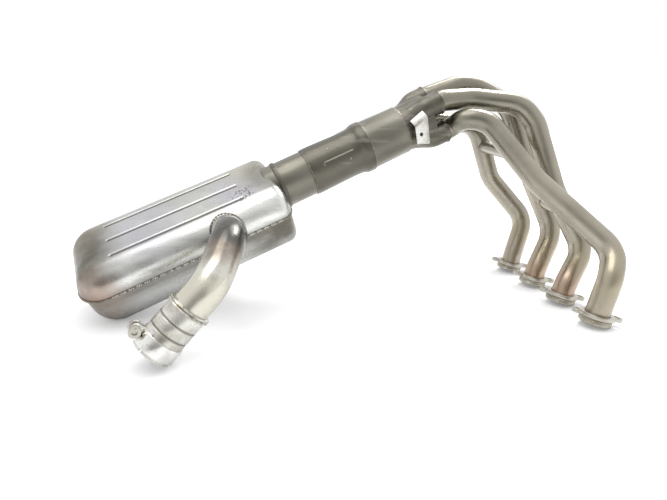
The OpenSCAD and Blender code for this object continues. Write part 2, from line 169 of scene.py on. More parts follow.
class Finish:
    """A material that grows by layers."""

    def __init__(self, name, colour, roughness, metallic=1.0):
        self.material = bpy.data.materials.new(name)
        self.material.use_nodes = True
        self.tree = self.material.node_tree
        self.shader = self.tree.nodes["Principled BSDF"]
        self.colour, self.rough, self.height = (*colour, 1), roughness, None
        self.shader.inputs["Metallic"].default_value = metallic
        self.shader.inputs["Base Color"].default_value = self.colour
        self.shader.inputs["Roughness"].default_value = roughness
        self.coords = add_node(self.tree, "ShaderNodeTexCoord", "Object")

    def mapped(self, matrix, scale):
        """Object coordinates in the directions of a matrix, stretched by scale."""
        turn = matrix.to_3x3().inverted().to_euler()
        sockets = {"Vector": self.coords, "Rotation": turn, "Scale": scale}
        return add_node(self.tree, "ShaderNodeMapping", "Vector", sockets)

    def noise(self, scale, detail, roughness=0.5, vector=None):
        """Grey noise of so many cells to the metre."""
        vector = self.coords if vector is None else vector
        sockets = {"Vector": vector, "Scale": scale, "Detail": detail, "Roughness": roughness}
        return add_node(self.tree, "ShaderNodeTexNoise", "Fac", sockets)

    def ramp(self, value, low, high, most=1.0, least=0.0):
        """A grey that goes straight from least at low to most at high."""
        node = self.tree.nodes.new("ShaderNodeValToRGB")
        for band, position, grey in zip(node.color_ramp.elements, (low, high), (least, most)):
            band.position = position
            band.color = (grey, grey, grey, 1)
        self.tree.links.new(value, node.inputs["Fac"])
        return node.outputs["Color"]

    def spots(self, scale, detail, low, high, most=1.0, least=0.0):
        """A mask of patches, where noise rises from low to high."""
        return self.ramp(self.noise(scale, detail), low, high, most, least)

    def maths(self, operation, a, b):
        """One sum, with numbers or outputs."""
        return add_node(self.tree, "ShaderNodeMath", "Value", {0: a, 1: b}, operation=operation)

    def times(self, product, *others):
        """The product of masks and strengths."""
        for other in others:
            product = self.maths("MULTIPLY", product, other)
        return product

    def between(self, value, low, high, least=0.0):
        """Smoothly least at low and 1 at high; low may be the larger of the two."""
        (start, start_grey), (end, end_grey) = sorted(((low, least), (high, 1.0)))
        ends = {"From Min": start, "From Max": end, "To Min": start_grey, "To Max": end_grey}
        sockets = {"Value": value, **ends}
        return add_node(self.tree, "ShaderNodeMapRange", "Result", sockets, interpolation_type="SMOOTHSTEP")

    def window(self, value, low, full, still_full, high):
        """White from full to still_full, black below low and above high."""
        return self.times(self.between(value, low, full), self.between(value, high, still_full))

    def distance(self, place):
        """Metres from a place in the frame."""
        sockets = {0: self.coords, 1: place}
        return add_node(self.tree, "ShaderNodeVectorMath", "Value", sockets, operation="DISTANCE")

    def near(self, place, inner, outer):
        """White within inner metres of a place in the frame, black beyond outer."""
        return self.between(self.distance(place), outer, inner)

    def along(self, matrix, axis):
        """Distance in metres along one axis of a frame on the bench."""
        direction = matrix.to_3x3().col[axis].normalized()
        sockets = {0: self.coords, 1: direction}
        reached = add_node(self.tree, "ShaderNodeVectorMath", "Value", sockets, operation="DOT_PRODUCT")
        return self.maths("SUBTRACT", reached, direction.dot(BENCH @ matrix.translation))

    def attribute(self, name):
        """A value that the mesh carries on its vertices."""
        return add_node(self.tree, "ShaderNodeAttribute", "Fac", attribute_name=name)

    def paint(self, colour, mask):
        """Lays a colour over what is there, where the mask is white."""
        sockets = {"Factor": mask, "A": self.colour, "B": (*colour, 1)}
        self.colour = add_node(self.tree, "ShaderNodeMix", "Result", sockets, data_type="RGBA")
        return self

    def dull(self, amount, mask):
        """Adds roughness where the mask is white."""
        self.rough = self.maths("ADD", self.times(mask, amount), self.rough)
        return self

    def raise_by(self, amount, mask):
        """Adds height, in metres, where the mask is white."""
        more = self.times(mask, amount)
        self.height = more if self.height is None else self.maths("ADD", more, self.height)
        return self

    def brushed(self, matrix, along, across, depth=0.00003):
        """Fine scratches along the X of a matrix: cells to the metre along and across."""
        grain = self.noise(1.0, 2, 0.6, self.mapped(matrix, (along, across, across)))
        return self.raise_by(depth, grain).dull(0.10, self.ramp(grain, 0.35, 0.75))

    def film(self):
        """A thin smooth skin of oxide that keeps narrow highlights over a duller metal."""
        self.shader.inputs["Coat Weight"].default_value = 0.35
        self.shader.inputs["Coat Roughness"].default_value = 0.10
        return self

    def done(self):
        """Joins the layers to the shader."""
        for name, layer in (("Base Color", self.colour), ("Roughness", self.rough)):
            if isinstance(layer, bpy.types.NodeSocket):
                self.tree.links.new(layer, self.shader.inputs[name])
        if self.height is not None:
            sockets = {"Strength": 1.0, "Distance": 1.0, "Height": self.height}
            normal = add_node(self.tree, "ShaderNodeBump", "Normal", sockets)
            self.tree.links.new(normal, self.shader.inputs["Normal"])
        return self.material


def layered(name, colour, roughness, patches, grain=(), brush=()):
    """A finish of patches (colour and spots), grain (height, scale, detail) and brushing."""
    f = Finish(name, colour, roughness)
    for patch, *spots in patches:
        f.paint(patch, f.spots(*spots))
    for height, scale, detail in grain:
        f.raise_by(height, f.noise(scale, detail))
    return f.brushed(*brush) if brush else f


# %% [markdown]
# ## Helpers for pieces
#
# A piece is drawn in millimetres in its own small frame, then carried onto the bench and into metres in
# one go. Its object stays at the origin, so patterns on object coordinates line up from piece to
# piece. Edges sharper than a set angle stay crisp and all others are shaded smooth.

# %% Helpers for pieces
made_pieces = {}


def mesh_of(name, bm):
    """Turns a drawing into a mesh and lets go of the drawing."""
    mesh = bpy.data.meshes.new(name)
    bm.to_mesh(mesh)
    bm.free()
    return mesh


def finish_piece(name, bm, place, material, stands_for=(), sharp=35.0):
    """Carries a drawn piece into the frame and registers it."""
    bmesh.ops.transform(bm, matrix=BENCH @ place, verts=bm.verts)
    mesh = mesh_of(name, bm)
    mesh.polygons.foreach_set("use_smooth", [True] * len(mesh.polygons))
    mesh.set_sharp_from_angle(angle=math.radians(sharp))
    mesh.materials.append(material)
    piece = put(name, mesh)
    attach(piece, "root")
    if stands_for:
        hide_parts(*stands_for)
    made_pieces[name] = len(mesh.polygons)
    return piece


def round_cutter(place, radius, height, segments):
    """A plain cylinder that stands on a place on the bench."""
    bm = bmesh.new()
    bmesh.ops.create_cone(bm, cap_ends=True, segments=segments, radius1=radius, radius2=radius, depth=height,
                          matrix=place @ Matrix.Translation((0, 0, height / 2)))
    bmesh.ops.transform(bm, matrix=BENCH, verts=bm.verts)
    return put("cutter", mesh_of("cutter", bm))


def cut_out(cutters, *pieces):
    """Cuts the cutters out of the pieces, bakes the results and takes the cutters away."""
    for piece in pieces:
        for cutter in cutters:
            hole = piece.modifiers.new("hole", "BOOLEAN")
            hole.operation = "DIFFERENCE"
            hole.solver = "EXACT"
            hole.object = cutter
        graph = bpy.context.evaluated_depsgraph_get()
        mesh = bpy.data.meshes.new_from_object(piece.evaluated_get(graph))
        piece.modifiers.clear()
        piece.data = mesh
        made_pieces[piece.name] = len(mesh.polygons)
    for cutter in cutters:
        bpy.data.objects.remove(cutter)


# %% [markdown]
# Drawing needs a few moves again and again: extruding an edge, rounding sharp edges, spinning an outline
# into a turned piece, giving a skin its wall, and sweeping a circle along a bent line.


# %% Helpers for drawing
def extruded(bm, edges):
    """Extrudes edges and gives the new vertices and the new edges."""
    made = bmesh.ops.extrude_edge_only(bm, edges=edges)["geom"]
    return [[g for g in made if isinstance(g, kind)] for kind in (bmesh.types.BMVert, bmesh.types.BMEdge)]


def sharp_edges(bm, degrees):
    """Edges where two faces meet at more than an angle."""
    return [e for e in bm.edges if len(e.link_faces) == 2 and e.calc_face_angle(0) > math.radians(degrees)]


def round_edges(bm, edges, width, segments=2, clamp=False):
    """Rounds edges over a width."""
    bmesh.ops.bevel(bm, geom=edges, affect="EDGES", offset=width, segments=segments, profile=0.5, material=-1,
                    clamp_overlap=clamp)


def spun(outline, axis, steps):
    """Spins a closed outline right round an axis."""
    bm = bmesh.new()
    verts = [bm.verts.new(p) for p in outline]
    edges = [bm.edges.new(pair) for pair in zip(verts, verts[1:] + verts[:1])]
    bmesh.ops.spin(bm, geom=verts + edges, cent=(0, 0, 0), axis=axis, angle=math.tau, steps=steps,
                   use_merge=True)
    bmesh.ops.remove_doubles(bm, verts=bm.verts, dist=0.01)
    bmesh.ops.recalc_face_normals(bm, faces=bm.faces)
    return bm


def hollow(bm, wall):
    """Gives an open skin a wall that grows inwards."""
    bmesh.ops.recalc_face_normals(bm, faces=bm.faces)
    bmesh.ops.solidify(bm, geom=bm.faces[:], thickness=wall)


def ring_of(bm, matrix, radius, count):
    """The edges of a new circle about the Z of a matrix."""
    verts = set(bmesh.ops.create_circle(bm, segments=count, radius=radius, matrix=matrix)["verts"])
    return [e for e in bm.edges if verts.issuperset(e.verts)]


def bent_line(points, bends, step=5.0, straight=14.0):
    """Places along straights joined by round bends, in millimetres."""
    line = [points[0]]
    for before, corner, after, radius in zip(points, points[1:], points[2:], bends):
        u = (corner - before).normalized()
        w = (after - corner).normalized()
        angle = u.angle(w)
        inward = (w - u * math.cos(angle)).normalized()
        start = corner - u * radius * math.tan(angle / 2)
        steps = max(3, math.ceil(math.degrees(angle) / step))
        line.append(start)
        for k in range(1, steps + 1):
            t = angle * k / steps
            line.append(start + inward * radius * (1 - math.cos(t)) + u * radius * math.sin(t))
    line.append(points[-1])
    full = [line[0]]
    for a, b in zip(line, line[1:]):
        pieces = max(1, math.ceil((b - a).length / straight))
        full += [a.lerp(b, k / pieces) for k in range(1, pieces + 1)]
    return full


def frames_on(line, closed=False):
    """A frame at each place of a line, Z along it, turned as little as possible from one to the next."""
    frames = []
    up = None
    count = len(line)
    for k, place in enumerate(line):
        ahead = line[(k + 1) % count] if closed else line[min(k + 1, count - 1)]
        behind = line[(k - 1) % count] if closed else line[max(k - 1, 0)]
        z = (ahead - behind).normalized()
        if up is None:
            up = z.orthogonal().normalized()
        up = (up - z * up.dot(z)).normalized()
        turn = Matrix((up, z.cross(up), z)).transposed().to_4x4()
        frames.append(Matrix.Translation(place) @ turn)
    return frames


def swept_skin(frames, radius, sides, swell=lambda k: 1):
    """Sweeps a circle through frames by extruding its edge; swell(k) scales ring k."""
    bm = bmesh.new()
    layer = bm.verts.layers.float.new("along")
    rings = [ring_of(bm, frames[0], radius * swell(0), sides)]
    travelled = 0.0
    for k in range(1, len(frames)):
        verts, edges = extruded(bm, rings[-1])
        change = frames[k] @ Matrix.Scale(swell(k) / swell(k - 1), 4) @ frames[k - 1].inverted()
        bmesh.ops.transform(bm, matrix=change, verts=verts)
        travelled += (frames[k].translation - frames[k - 1].translation).length
        for v in verts:
            v[layer] = travelled * MM
        rings.append(edges)
    return bm, rings


# %% [markdown]
# ## Brown tube steel
#
# The four primary tubes have gone the brownish grey that stainless steel takes near 400 degrees, with
# copper and straw tints in the first hand's width above the ports, and darker steel by the collector. A
# thin film of oxide keeps the highlights narrow. Each tube carries its distance from the port on its
# vertices, so the tint follows the tube round its bends.


# %% Finish of the primary tubes
def tube_finish(name, tint, strength):
    """Steel of one tube: its own tint near the port, straw above it, dark by the collector."""
    f = Finish(name, (0.43, 0.395, 0.322), 0.27)
    f.paint((0.34, 0.312, 0.252), f.spots(14, 3, 0.38, 0.66, 0.9))
    wavy = f.maths("ADD", f.attribute("along"), f.times(f.noise(22, 2), 0.06))
    f.paint(tint, f.times(f.between(wavy, 0.125, 0.035), strength))
    f.paint((0.44, 0.38, 0.26), f.times(f.window(wavy, 0.055, 0.10, 0.11, 0.16), 0.5))
    f.paint((0.27, 0.255, 0.205), f.times(f.near(BENCH @ MOUTH, 0.070, 0.230), 0.92))
    f.paint((0.20, 0.16, 0.12), f.spots(620, 1, 0.70, 0.78, 0.3))
    f.dull(0.16, f.spots(44, 3, 0.40, 0.75))
    f.raise_by(0.00003, f.noise(420, 2)).raise_by(0.00025, f.noise(26, 2))
    return f.film().done()


tube_materials = [
    tube_finish("tube_near_port", (0.42, 0.36, 0.27), 0.6),
    tube_finish("tube_second", (0.45, 0.31, 0.22), 0.8),
    tube_finish("tube_third", (0.44, 0.31, 0.21), 0.8),
    tube_finish("tube_far", (0.38, 0.32, 0.25), 0.6),
]
print("tube finishes", [m.name for m in tube_materials])

# %% [markdown]
# ## The primary tubes
#
# Each tube is bent on a mandrel bender: straight runs joined by round bends of a chosen radius. The
# same is done here. A circle is extruded along the route ring by ring, each ring turned as little as
# possible from the last, and the skin then gets the tube's wall. The four routes cross each other on
# their way to the collector, which is why each has its own corner points. The near tube's last two bends
# are so tight that they would crease its skin, so its centre line is eased there by a millimetre or two.

# %% Routes and tubes
STUB = [74, 30, 30, 30]
AFTER_PORT = [(35, 26, 104), (49, 26, 80), (48, 27, 90), (37, 24, 96)]
FREE_CORNERS = [
    [(-52, 115, 205), (-81, 150, 251)],
    [(10, 155, 181), (-19, 189, 290), (-43, 200, 323)],
    [(3, 235, 210), (-34, 259, 321)],
    [(-32, 306, 182), (-71, 308, 287)],
]
BEFORE_MOUTH = [
    [(67, -37, 22), (27, -26, 25)],
    [(68, 11, 10)],
    [(93, 10, 32)],
    [],
]
STRAIGHT_IN = [25, 16, 16, 22]
TUBE_END = 5
TUBE_BENDS = [
    [38, 42, 90, 60, 40, 24, 22],
    [45, 45, 80, 40, 60, 60, 40],
    [45, 55, 100, 60, 70, 40],
    [50, 45, 60, 48, 40],
]


def tube_route(i):
    """Corner points of tube i on the bench, from the port to inside the collector."""
    return (
        [port(i), port(i) + LEAN_DIR * STUB[i], port(i) + Vector(AFTER_PORT[i])]
        + [Vector(c) for c in FREE_CORNERS[i]]
        + [inlet(i) + Vector(c) for c in BEFORE_MOUTH[i]]
        + [inlet(i) + MAIN_DIR * STRAIGHT_IN[i], inlet(i) - MAIN_DIR * TUBE_END]
    )


def relaxed(line, tail, held, spacing=4.0, rounds=14):
    """Eases a line along its last stretch, of length tail, apart from its held end."""
    even = [line[0]]
    for a, b in zip(line, line[1:]):
        parts = max(1, round((b - a).length / spacing))
        even += [a.lerp(b, k / parts) for k in range(1, parts + 1)]
    lengths = [(b - a).length for a, b in zip(even, even[1:])]
    left = [sum(lengths[k:]) for k in range(len(even))]
    for _ in range(rounds):
        even = [
            (even[k - 1] + even[k] * 2 + even[k + 1]) / 4 if held < left[k] < tail else even[k]
            for k in range(len(even))
        ]
    return even


EASED_LENGTH, HELD_LENGTH = 120, 11
tube_trees = []
for i in range(4):
    centreline = bent_line(tube_route(i), TUBE_BENDS[i])
    if i == 0:
        centreline = relaxed(centreline, EASED_LENGTH, HELD_LENGTH)
    bm, _ = swept_skin(frames_on(centreline), TUBE_R, 48)
    tube_trees.append(BVHTree.FromBMesh(bm))
    hollow(bm, TUBE_WALL)
    node = f"primary_tube_{i + 1}"
    finish_piece(f"bent_tube_{i + 1}", bm, Matrix(), tube_materials[i], [node])
print("tubes", {k: v for k, v in made_pieces.items() if k.startswith("bent_tube")})

# %% [markdown]
# ## Weld beads
#
# A hand laid weld is a row of small overlapping drops. A thin tube that swells and shrinks as it goes
# round gives that look. The bead follows the real meeting line: rays are shot at the carrying surface
# from all round the joining pipe, and the bead runs through the places they hit.


# %% Weld bead helper
def ripple(k):
    """How far a bead swells or shrinks at ring k; three rings make one drop."""
    return 1 + 0.16 * math.sin(k * math.tau / 3)


def rippled_bead(name, line, radius, material, drop=2.6, closed=True):
    """A weld bead along a line on the bench."""
    spaced = []
    for a, b in zip(line, line[1:] + line[:1] if closed else line[1:]):
        parts = max(1, round((b - a).length / (drop / 3)))
        spaced += [a.lerp(b, j / parts) for j in range(parts)]
    bm, rings = swept_skin(frames_on(spaced, closed), radius, 8, ripple)
    if closed:
        bmesh.ops.bridge_loops(bm, edges=rings[0] + rings[-1])
    else:
        for ends in (rings[0], rings[-1]):
            bmesh.ops.edgeloop_fill(bm, edges=ends)
    bmesh.ops.recalc_face_normals(bm, faces=bm.faces)
    finish_piece(name, bm, Matrix(), material, sharp=60)


def circle_line(place, radius, count=72):
    """Points round the Z of a frame."""
    angles = [math.tau * k / count for k in range(count)]
    return [place @ Vector((radius * math.cos(a), radius * math.sin(a), 0)) for a in angles]


def meeting_line(tree, place, radius, reach, count):
    """Where a pipe of that radius about the Z of a frame comes out of a surface."""
    down = (place.to_3x3() @ Vector((0, 0, -1))).normalized()
    starts = circle_line(place @ Matrix.Translation((0, 0, reach)), radius, count)
    hits = [tree.ray_cast(start, down, 2 * reach)[0] for start in starts]
    return [hit for hit in hits if hit is not None]


weld_material = layered(
    "weld_bead", (0.30, 0.275, 0.23), 0.32,
    [((0.20, 0.18, 0.15), 90, 3, 0.42, 0.60), ((0.52, 0.50, 0.45), 300, 2, 0.60, 0.70)],
    [(0.00008, 500, 3)],
).done()
stitch_material = layered(
    "bright_stitch", (0.66, 0.65, 0.60), 0.26,
    [((0.42, 0.39, 0.33), 160, 3, 0.50, 0.64)], [(0.00008, 600, 2)],
).done()
print("weld finish ready")

# %% [markdown]
# ## The collector
#
# Four short sockets are drawn together into one round neck. Seen end on, the outline starts as four
# lobes and ends as a circle. A circle of points is extruded along the axis, and each ring's points are
# pulled out to the outline for that station: the lobes fade into the circle on the way down.

# %% Collector body
INLET_R = TUBE_R + WELD_GAP + 1.6
NECK_R = 41 - 1.6 - WELD_GAP
COLLECTOR_WALL, INLET_WALL = 1.5, 1.4
CONE_LEN, NECK_LAP = 60, 14
MOUTH_X = 8
AROUND = 144


def lobed_radius(angle, lobe_r, waist):
    """Distance from the axis to the outline of four lobes, whose valleys are filled to a waist."""
    best = waist
    offset = BUNDLE_HALF * math.sqrt(2)
    for y, z in SIDES:
        swing = angle - math.atan2(z, y)
        side = offset * math.sin(swing)
        if abs(side) < lobe_r and math.cos(swing) > 0:
            best = max(best, offset * math.cos(swing) + math.sqrt(lobe_r**2 - side**2))
    return best


# Each station has its place along the axis and how far the lobes have faded into the circle there.
collector_stations = [
    (-10.0, 0.00), (-16.0, 0.02), (-22.0, 0.08), (-27.0, 0.20), (-32.0, 0.36), (-37.0, 0.53),
    (-42.0, 0.69), (-47.0, 0.83), (-52.0, 0.94), (-57.0, 1.0), (-62.0, 1.0), (-CONE_LEN - NECK_LAP, 1.0),
]
# Each step of a socket's lip goes forward by a length, and swells by a factor.
lip_steps = ((14.0, 1.0), (2.2, 1.02), (1.6, 1.035), (1.2, 1.02), (0.5, 0.985))

facing_x = Matrix.Rotation(math.radians(90), 4, "Y")
bm = bmesh.new()
edges = ring_of(bm, facing_x, 1.0, AROUND)
verts = bm.verts[:]
for k, (x, blend) in enumerate(collector_stations):
    if k:
        verts, edges = extruded(bm, edges)
    for v in verts:
        angle = math.atan2(v.co.z, v.co.y)
        lobes = lobed_radius(angle, INLET_R, BUNDLE_HALF + INLET_R - 3.5)
        radius = lobes * (1 - blend) + NECK_R * blend
        v.co = Vector((x, radius * math.cos(angle), radius * math.sin(angle)))
bmesh.ops.recalc_face_normals(bm, faces=bm.faces)
bmesh.ops.smooth_vert(bm, verts=[v for v in bm.verts if -50 < v.co.x < -12], factor=0.5, use_axis_x=False,
                      use_axis_y=True, use_axis_z=True)
collector_form = bm.copy()
bmesh.ops.transform(collector_form, matrix=MAIN, verts=collector_form.verts)
collector_tree = BVHTree.FromBMesh(collector_form)
collector_form.free()
bmesh.ops.edgeloop_fill(bm, edges=[e for e in bm.edges if e.is_boundary and e.verts[0].co.x > -11])
hollow(bm, COLLECTOR_WALL)

for side_y, side_z in SIDES:
    y, z = side_y * BUNDLE_HALF, side_z * BUNDLE_HALF
    socket = bmesh.new()
    edges = ring_of(socket, Matrix.Translation((-11.5, y, z)) @ facing_x, INLET_R, 64)
    for step, swell in lip_steps:
        verts, edges = extruded(socket, edges)
        for v in verts:
            v.co = Vector((v.co.x + step, y + (v.co.y - y) * swell, z + (v.co.z - z) * swell))
    hollow(socket, INLET_WALL)
    mesh = mesh_of("socket", socket)
    bm.from_mesh(mesh)
    bpy.data.meshes.remove(mesh)


def dark_finish(name, colour, shade, roughness):
    """Dark brown grey steel of the hottest pipes, brushed along the pipe, with dirt and bright rubs."""
    f = Finish(name, colour, roughness)
    f.paint(shade, f.spots(12, 4, 0.38, 0.66))
    rubs = f.noise(1.0, 3, vector=f.mapped(MAIN, (6, 60, 60)))
    f.paint((0.52, 0.49, 0.43), f.ramp(rubs, 0.58, 0.70, 0.35))
    f.paint((0.15, 0.13, 0.11), f.spots(430, 2, 0.64, 0.72, 0.4))
    f.brushed(MAIN, 30, 900).raise_by(0.0003, f.noise(24, 2))
    return f.film().done()


collector_material = dark_finish("collector_steel", (0.175, 0.164, 0.134), (0.125, 0.117, 0.095), 0.37)
finish_piece("collector_body", bm, MAIN, collector_material, ["collector"], sharp=40)
for i in range(4):
    lip = aimed(inlet(i), MAIN_DIR) @ Matrix.Translation((0, 0, MOUTH_X + 0.4))
    rippled_bead(f"socket_weld_{i + 1}", circle_line(lip, TUBE_R + 0.7), 1.0, weld_material)
print("collector", made_pieces["collector_body"], "faces")

# %% [markdown]
# ## Turned and rolled pipes
#
# The pipe behind the collector, the catalyst's casing and the rear pipe are all round about the main
# axis. Their outlines are drawn once as a few points, spun round the axis into a closed wall, and the
# edges of the wall get a small round, as a rolled sheet edge has.


# %% Spun shells along the main axis
PIPE_WALL = 1.6
FRONT_PIPE_AT = 62
FLARE_AT = 130
FLARE_LAP = 12
FLARE_R = 42
CASING_END = FLARE_AT + 108
CASING_FRONT_R = 38.5
CASING_REAR_R = 41
REAR_R = 38.5
CHAMBER_AT = 300
BEAD_LIFT = 0.7


def spun_shell(name, node, outline, material, wall=PIPE_WALL, edge=0.4):
    """Spins an outline of (distance back from the mouth, radius) into a pipe with a wall."""
    loop = [(-x, 0, r) for x, r in outline] + [(-x, 0, r - wall) for x, r in reversed(outline)]
    bm = spun(loop, (1, 0, 0), 120)
    round_edges(bm, sharp_edges(bm, 50), edge)
    finish_piece(name, bm, MAIN, material, [node])


def eased(points):
    """Softens the corners of an outline by cutting each twice."""
    for _ in range(2):
        softer = [points[0]]
        for (x0, r0), (x1, r1) in zip(points, points[1:]):
            softer += [(x0 + (x1 - x0) * part, r0 + (r1 - r0) * part) for part in (0.25, 0.75)]
        points = softer + [points[-1]]
    return points


flare_out = FLARE_R + WELD_GAP + PIPE_WALL
flare_end = FLARE_AT + FLARE_LAP
ring_front, ring_back = CHAMBER_AT - 5, CHAMBER_AT - 13
spun_shell(
    "front_pipe_skin", "front_pipe",
    eased([(FRONT_PIPE_AT, 41), (FRONT_PIPE_AT + 20, 41), (FLARE_AT - 6, FLARE_R), (flare_end, FLARE_R)]),
    dark_finish("front_pipe_steel", (0.25, 0.237, 0.196), (0.185, 0.176, 0.145), 0.36),
)
spun_shell(
    "casing_skin", "catalyst_casing",
    eased([(FLARE_AT, flare_out), (flare_end, flare_out), (flare_end + 10, CASING_FRONT_R),
           (CASING_END - 8, CASING_REAR_R), (CASING_END, REAR_R + WELD_GAP + PIPE_WALL)]),
    dark_finish("casing_steel", (0.165, 0.155, 0.124), (0.12, 0.114, 0.092), 0.36),
)
spun_shell(
    "rear_pipe_skin", "rear_pipe", [(CASING_END - 10, REAR_R), (CHAMBER_AT + 12, REAR_R)],
    dark_finish("rear_pipe_steel", (0.24, 0.228, 0.186), (0.18, 0.171, 0.142), 0.33),
)
spun_shell(
    "inlet_ring_skin", "chamber_inlet_ring",
    eased([(ring_back, REAR_R + 1), (ring_back + 2, REAR_R + 2.1), (ring_front - 2, REAR_R + 2.1),
           (ring_front, REAR_R + 1)]),
    dark_finish("inlet_ring_steel", (0.15, 0.14, 0.115), (0.10, 0.095, 0.08), 0.38), wall=0.8, edge=0.2,
)
for name, back, radius, size in (
    ("neck_weld", FRONT_PIPE_AT - 0.6, NECK_R, 1.1),
    ("casing_weld", CASING_END + 0.6, REAR_R, 1.1),
    ("flare_weld", FLARE_AT - 0.6, FLARE_R, 0.9),
):
    place = aimed(MOUTH - MAIN_DIR * back, MAIN_DIR)
    rippled_bead(name, circle_line(place, radius + BEAD_LIFT), size, weld_material)
print("round pipes done")

# %% [markdown]
# The casing is rolled from sheet and closed by a long lap seam, with a few spot welds beside it. The
# seam is a thin strip that is laid over the casing: a short arc spun along the casing's own outline, so
# it follows the waist and the widening. Its bright colour is a painted highlight. The spots are low domes
# pressed onto the same surface.

# %% Long seam and spot welds of the casing
SEAM_ANGLE, SEAM_THICK = 152, 0.6
SPOT_R = 2.3


def casing_radius(back):
    """Radius of the casing behind its flare, at a distance back from the mouth."""
    start, end = flare_end + 10, CASING_END - 8
    part = max(0.0, min(1.0, (back - start) / (end - start)))
    return CASING_FRONT_R + (CASING_REAR_R - CASING_FRONT_R) * part


def round_main(back, angle, out):
    """A place beside the main axis, by degrees from the far side towards the top."""
    a = math.radians(angle)
    return Vector((-back, out * math.cos(a), out * math.sin(a)))


bm = bmesh.new()
stations = [flare_end + 12 + k * 4 for k in range(16)]
first = [bm.verts.new(round_main(b, SEAM_ANGLE, casing_radius(b) + 0.05)) for b in stations]
strip = [bm.edges.new(pair) for pair in zip(first, first[1:])]
bmesh.ops.spin(bm, geom=first + strip, cent=(0, 0, 0), axis=(1, 0, 0), angle=math.radians(3), steps=3)
bmesh.ops.recalc_face_normals(bm, faces=bm.faces)
if sum(f.normal.dot(f.calc_center_median() * Vector((0, 1, 1))) for f in bm.faces) < 0:
    bmesh.ops.reverse_faces(bm, faces=bm.faces)
bmesh.ops.solidify(bm, geom=bm.faces[:], thickness=-SEAM_THICK)
round_edges(bm, sharp_edges(bm, 50), 0.25)
# The seam's bright colour is a painted highlight along the lap.
seam_highlight_material = layered(
    "seam_painted_highlight", (0.62, 0.60, 0.54), 0.24, [((0.42, 0.39, 0.34), 120, 3, 0.0, 1.0)], [(0.00005, 500, 2)],
).done()
finish_piece("casing_seam", bm, MAIN, seam_highlight_material)

bm = bmesh.new()
for back, angle in ((200, 126), (196, 178), (215, 158), (170, 171), (182, 132)):
    spot = Matrix.Translation(round_main(back, angle, casing_radius(back) - 0.4))
    flat = Matrix.Rotation(math.radians(angle - 90), 4, "X") @ Matrix.Diagonal((1, 1, 0.5, 1))
    bmesh.ops.create_uvsphere(bm, u_segments=16, v_segments=10, radius=SPOT_R, matrix=spot @ flat)
finish_piece("casing_spots", bm, MAIN, weld_material)
print("seam", made_pieces["casing_seam"], "spots", made_pieces["casing_spots"])

# %% [markdown]
# ## Balance tubes
#
# Two short tubes join pairs of primary tubes so that their pressure evens out. Each is a straight pipe
# whose ends are cut to the curve of the tube it meets. Here rays along the pipe find that curve: every
# point of an end ring slides along the axis until it touches the primary tube. The same points then
# carry the weld bead.


# %% Coped balance tubes
BALANCE_R = 10


def on_leg(i, leg, part):
    """A place so far along one straight of a tube's route."""
    route = tube_route(i)
    return route[leg].lerp(route[leg + 1], part)


def balance_tube(name, node, i, start, j, end):
    """A straight pipe from a place on tube i to a place on tube j, coped and welded at both ends."""
    place = aimed(start, end - start)
    length = (end - start).length
    axis = (end - start).normalized()
    frames = [place @ Matrix.Translation((0, 0, length / 2 + k)) for k in (-12, -6, 0, 6, 12)]
    bm, rings = swept_skin(frames, BALANCE_R, 40)
    local = place.inverted()
    welds = []
    for ring, way, tree in ((rings[0], -axis, tube_trees[i]), (rings[-1], axis, tube_trees[j])):
        touched = []
        for v in {v for e in ring for v in e.verts}:
            hit = tree.ray_cast(v.co, way, length)[0]
            if hit is not None:
                v.co = hit - way * 0.2
                touched.append(hit - way * 0.4)
        welds.append(sorted(touched, key=lambda p: math.atan2((local @ p).y, (local @ p).x)))
    hollow(bm, TUBE_WALL)
    finish_piece(name, bm, Matrix(), tube_materials[0], [node])
    for k, line in enumerate(welds):
        rippled_bead(f"{name}_weld_{k + 1}", line, 1.3, weld_material)


balance_tube("long_balance_tube", "balance_tube_outer", 0, on_leg(0, 3, 0.8), 3, on_leg(3, 3, 0.6))
balance_tube("short_balance_tube", "balance_tube_inner", 1, on_leg(1, 2, 0.6), 2, on_leg(2, 2, 0.5))
print("balance tubes", made_pieces["long_balance_tube"], made_pieces["short_balance_tube"])

# %% [markdown]
# ## Port collars and their plates
#
# The collars are turned from bar: one profile, spun, with small rounded chamfers and a groove behind the
# shoulder.

# %% Turned collars
collar_material = layered(
    "collar_steel", (0.48, 0.45, 0.38), 0.34,
    [((0.36, 0.33, 0.27), 40, 4, 0.42, 0.62), ((0.64, 0.61, 0.54), 150, 2, 0.58, 0.68, 0.8)],
    brush=(Matrix.Rotation(math.radians(90) - PORT_LEAN, 4, "Y"), 2600, 60, 0.00004),
).done()
BORE_R = TUBE_R + WELD_GAP
GROOVE_R = COLLAR_R - 0.7
FACE_R = COLLAR_R - COLLAR_CHAMFER
outline = [
    (BORE_R, 0), (FACE_R, 0), (COLLAR_R, COLLAR_CHAMFER), (COLLAR_R, 5.6), (GROOVE_R, 6.1), (GROOVE_R, 6.9),
    (COLLAR_R, 7.4), (COLLAR_R, COLLAR_H - COLLAR_CHAMFER), (FACE_R, COLLAR_H), (TUBE_R + 1.2, COLLAR_H),
    (BORE_R, COLLAR_H - 0.8),
]
for i in range(4):
    bm = spun([(r, 0, z) for r, z in outline], (0, 0, 1), 96)
    round_edges(bm, sharp_edges(bm, 30), 0.3)
    name, node = f"turned_collar_{i + 1}", f"port_collar_{i + 1}"
    finish_piece(name, bm, aimed(port(i), LEAN_DIR), collar_material, [node])
print("collars", made_pieces["turned_collar_1"], "faces each")

# %% [markdown]
# The plates hang loose on the tubes, so they sit a little turned and show bright cut edges. A copy of the
# plate's solid is cleaned into large faces, and its edges are then rounded. The outlet's socket and the
# clamp are made in the same way further on.


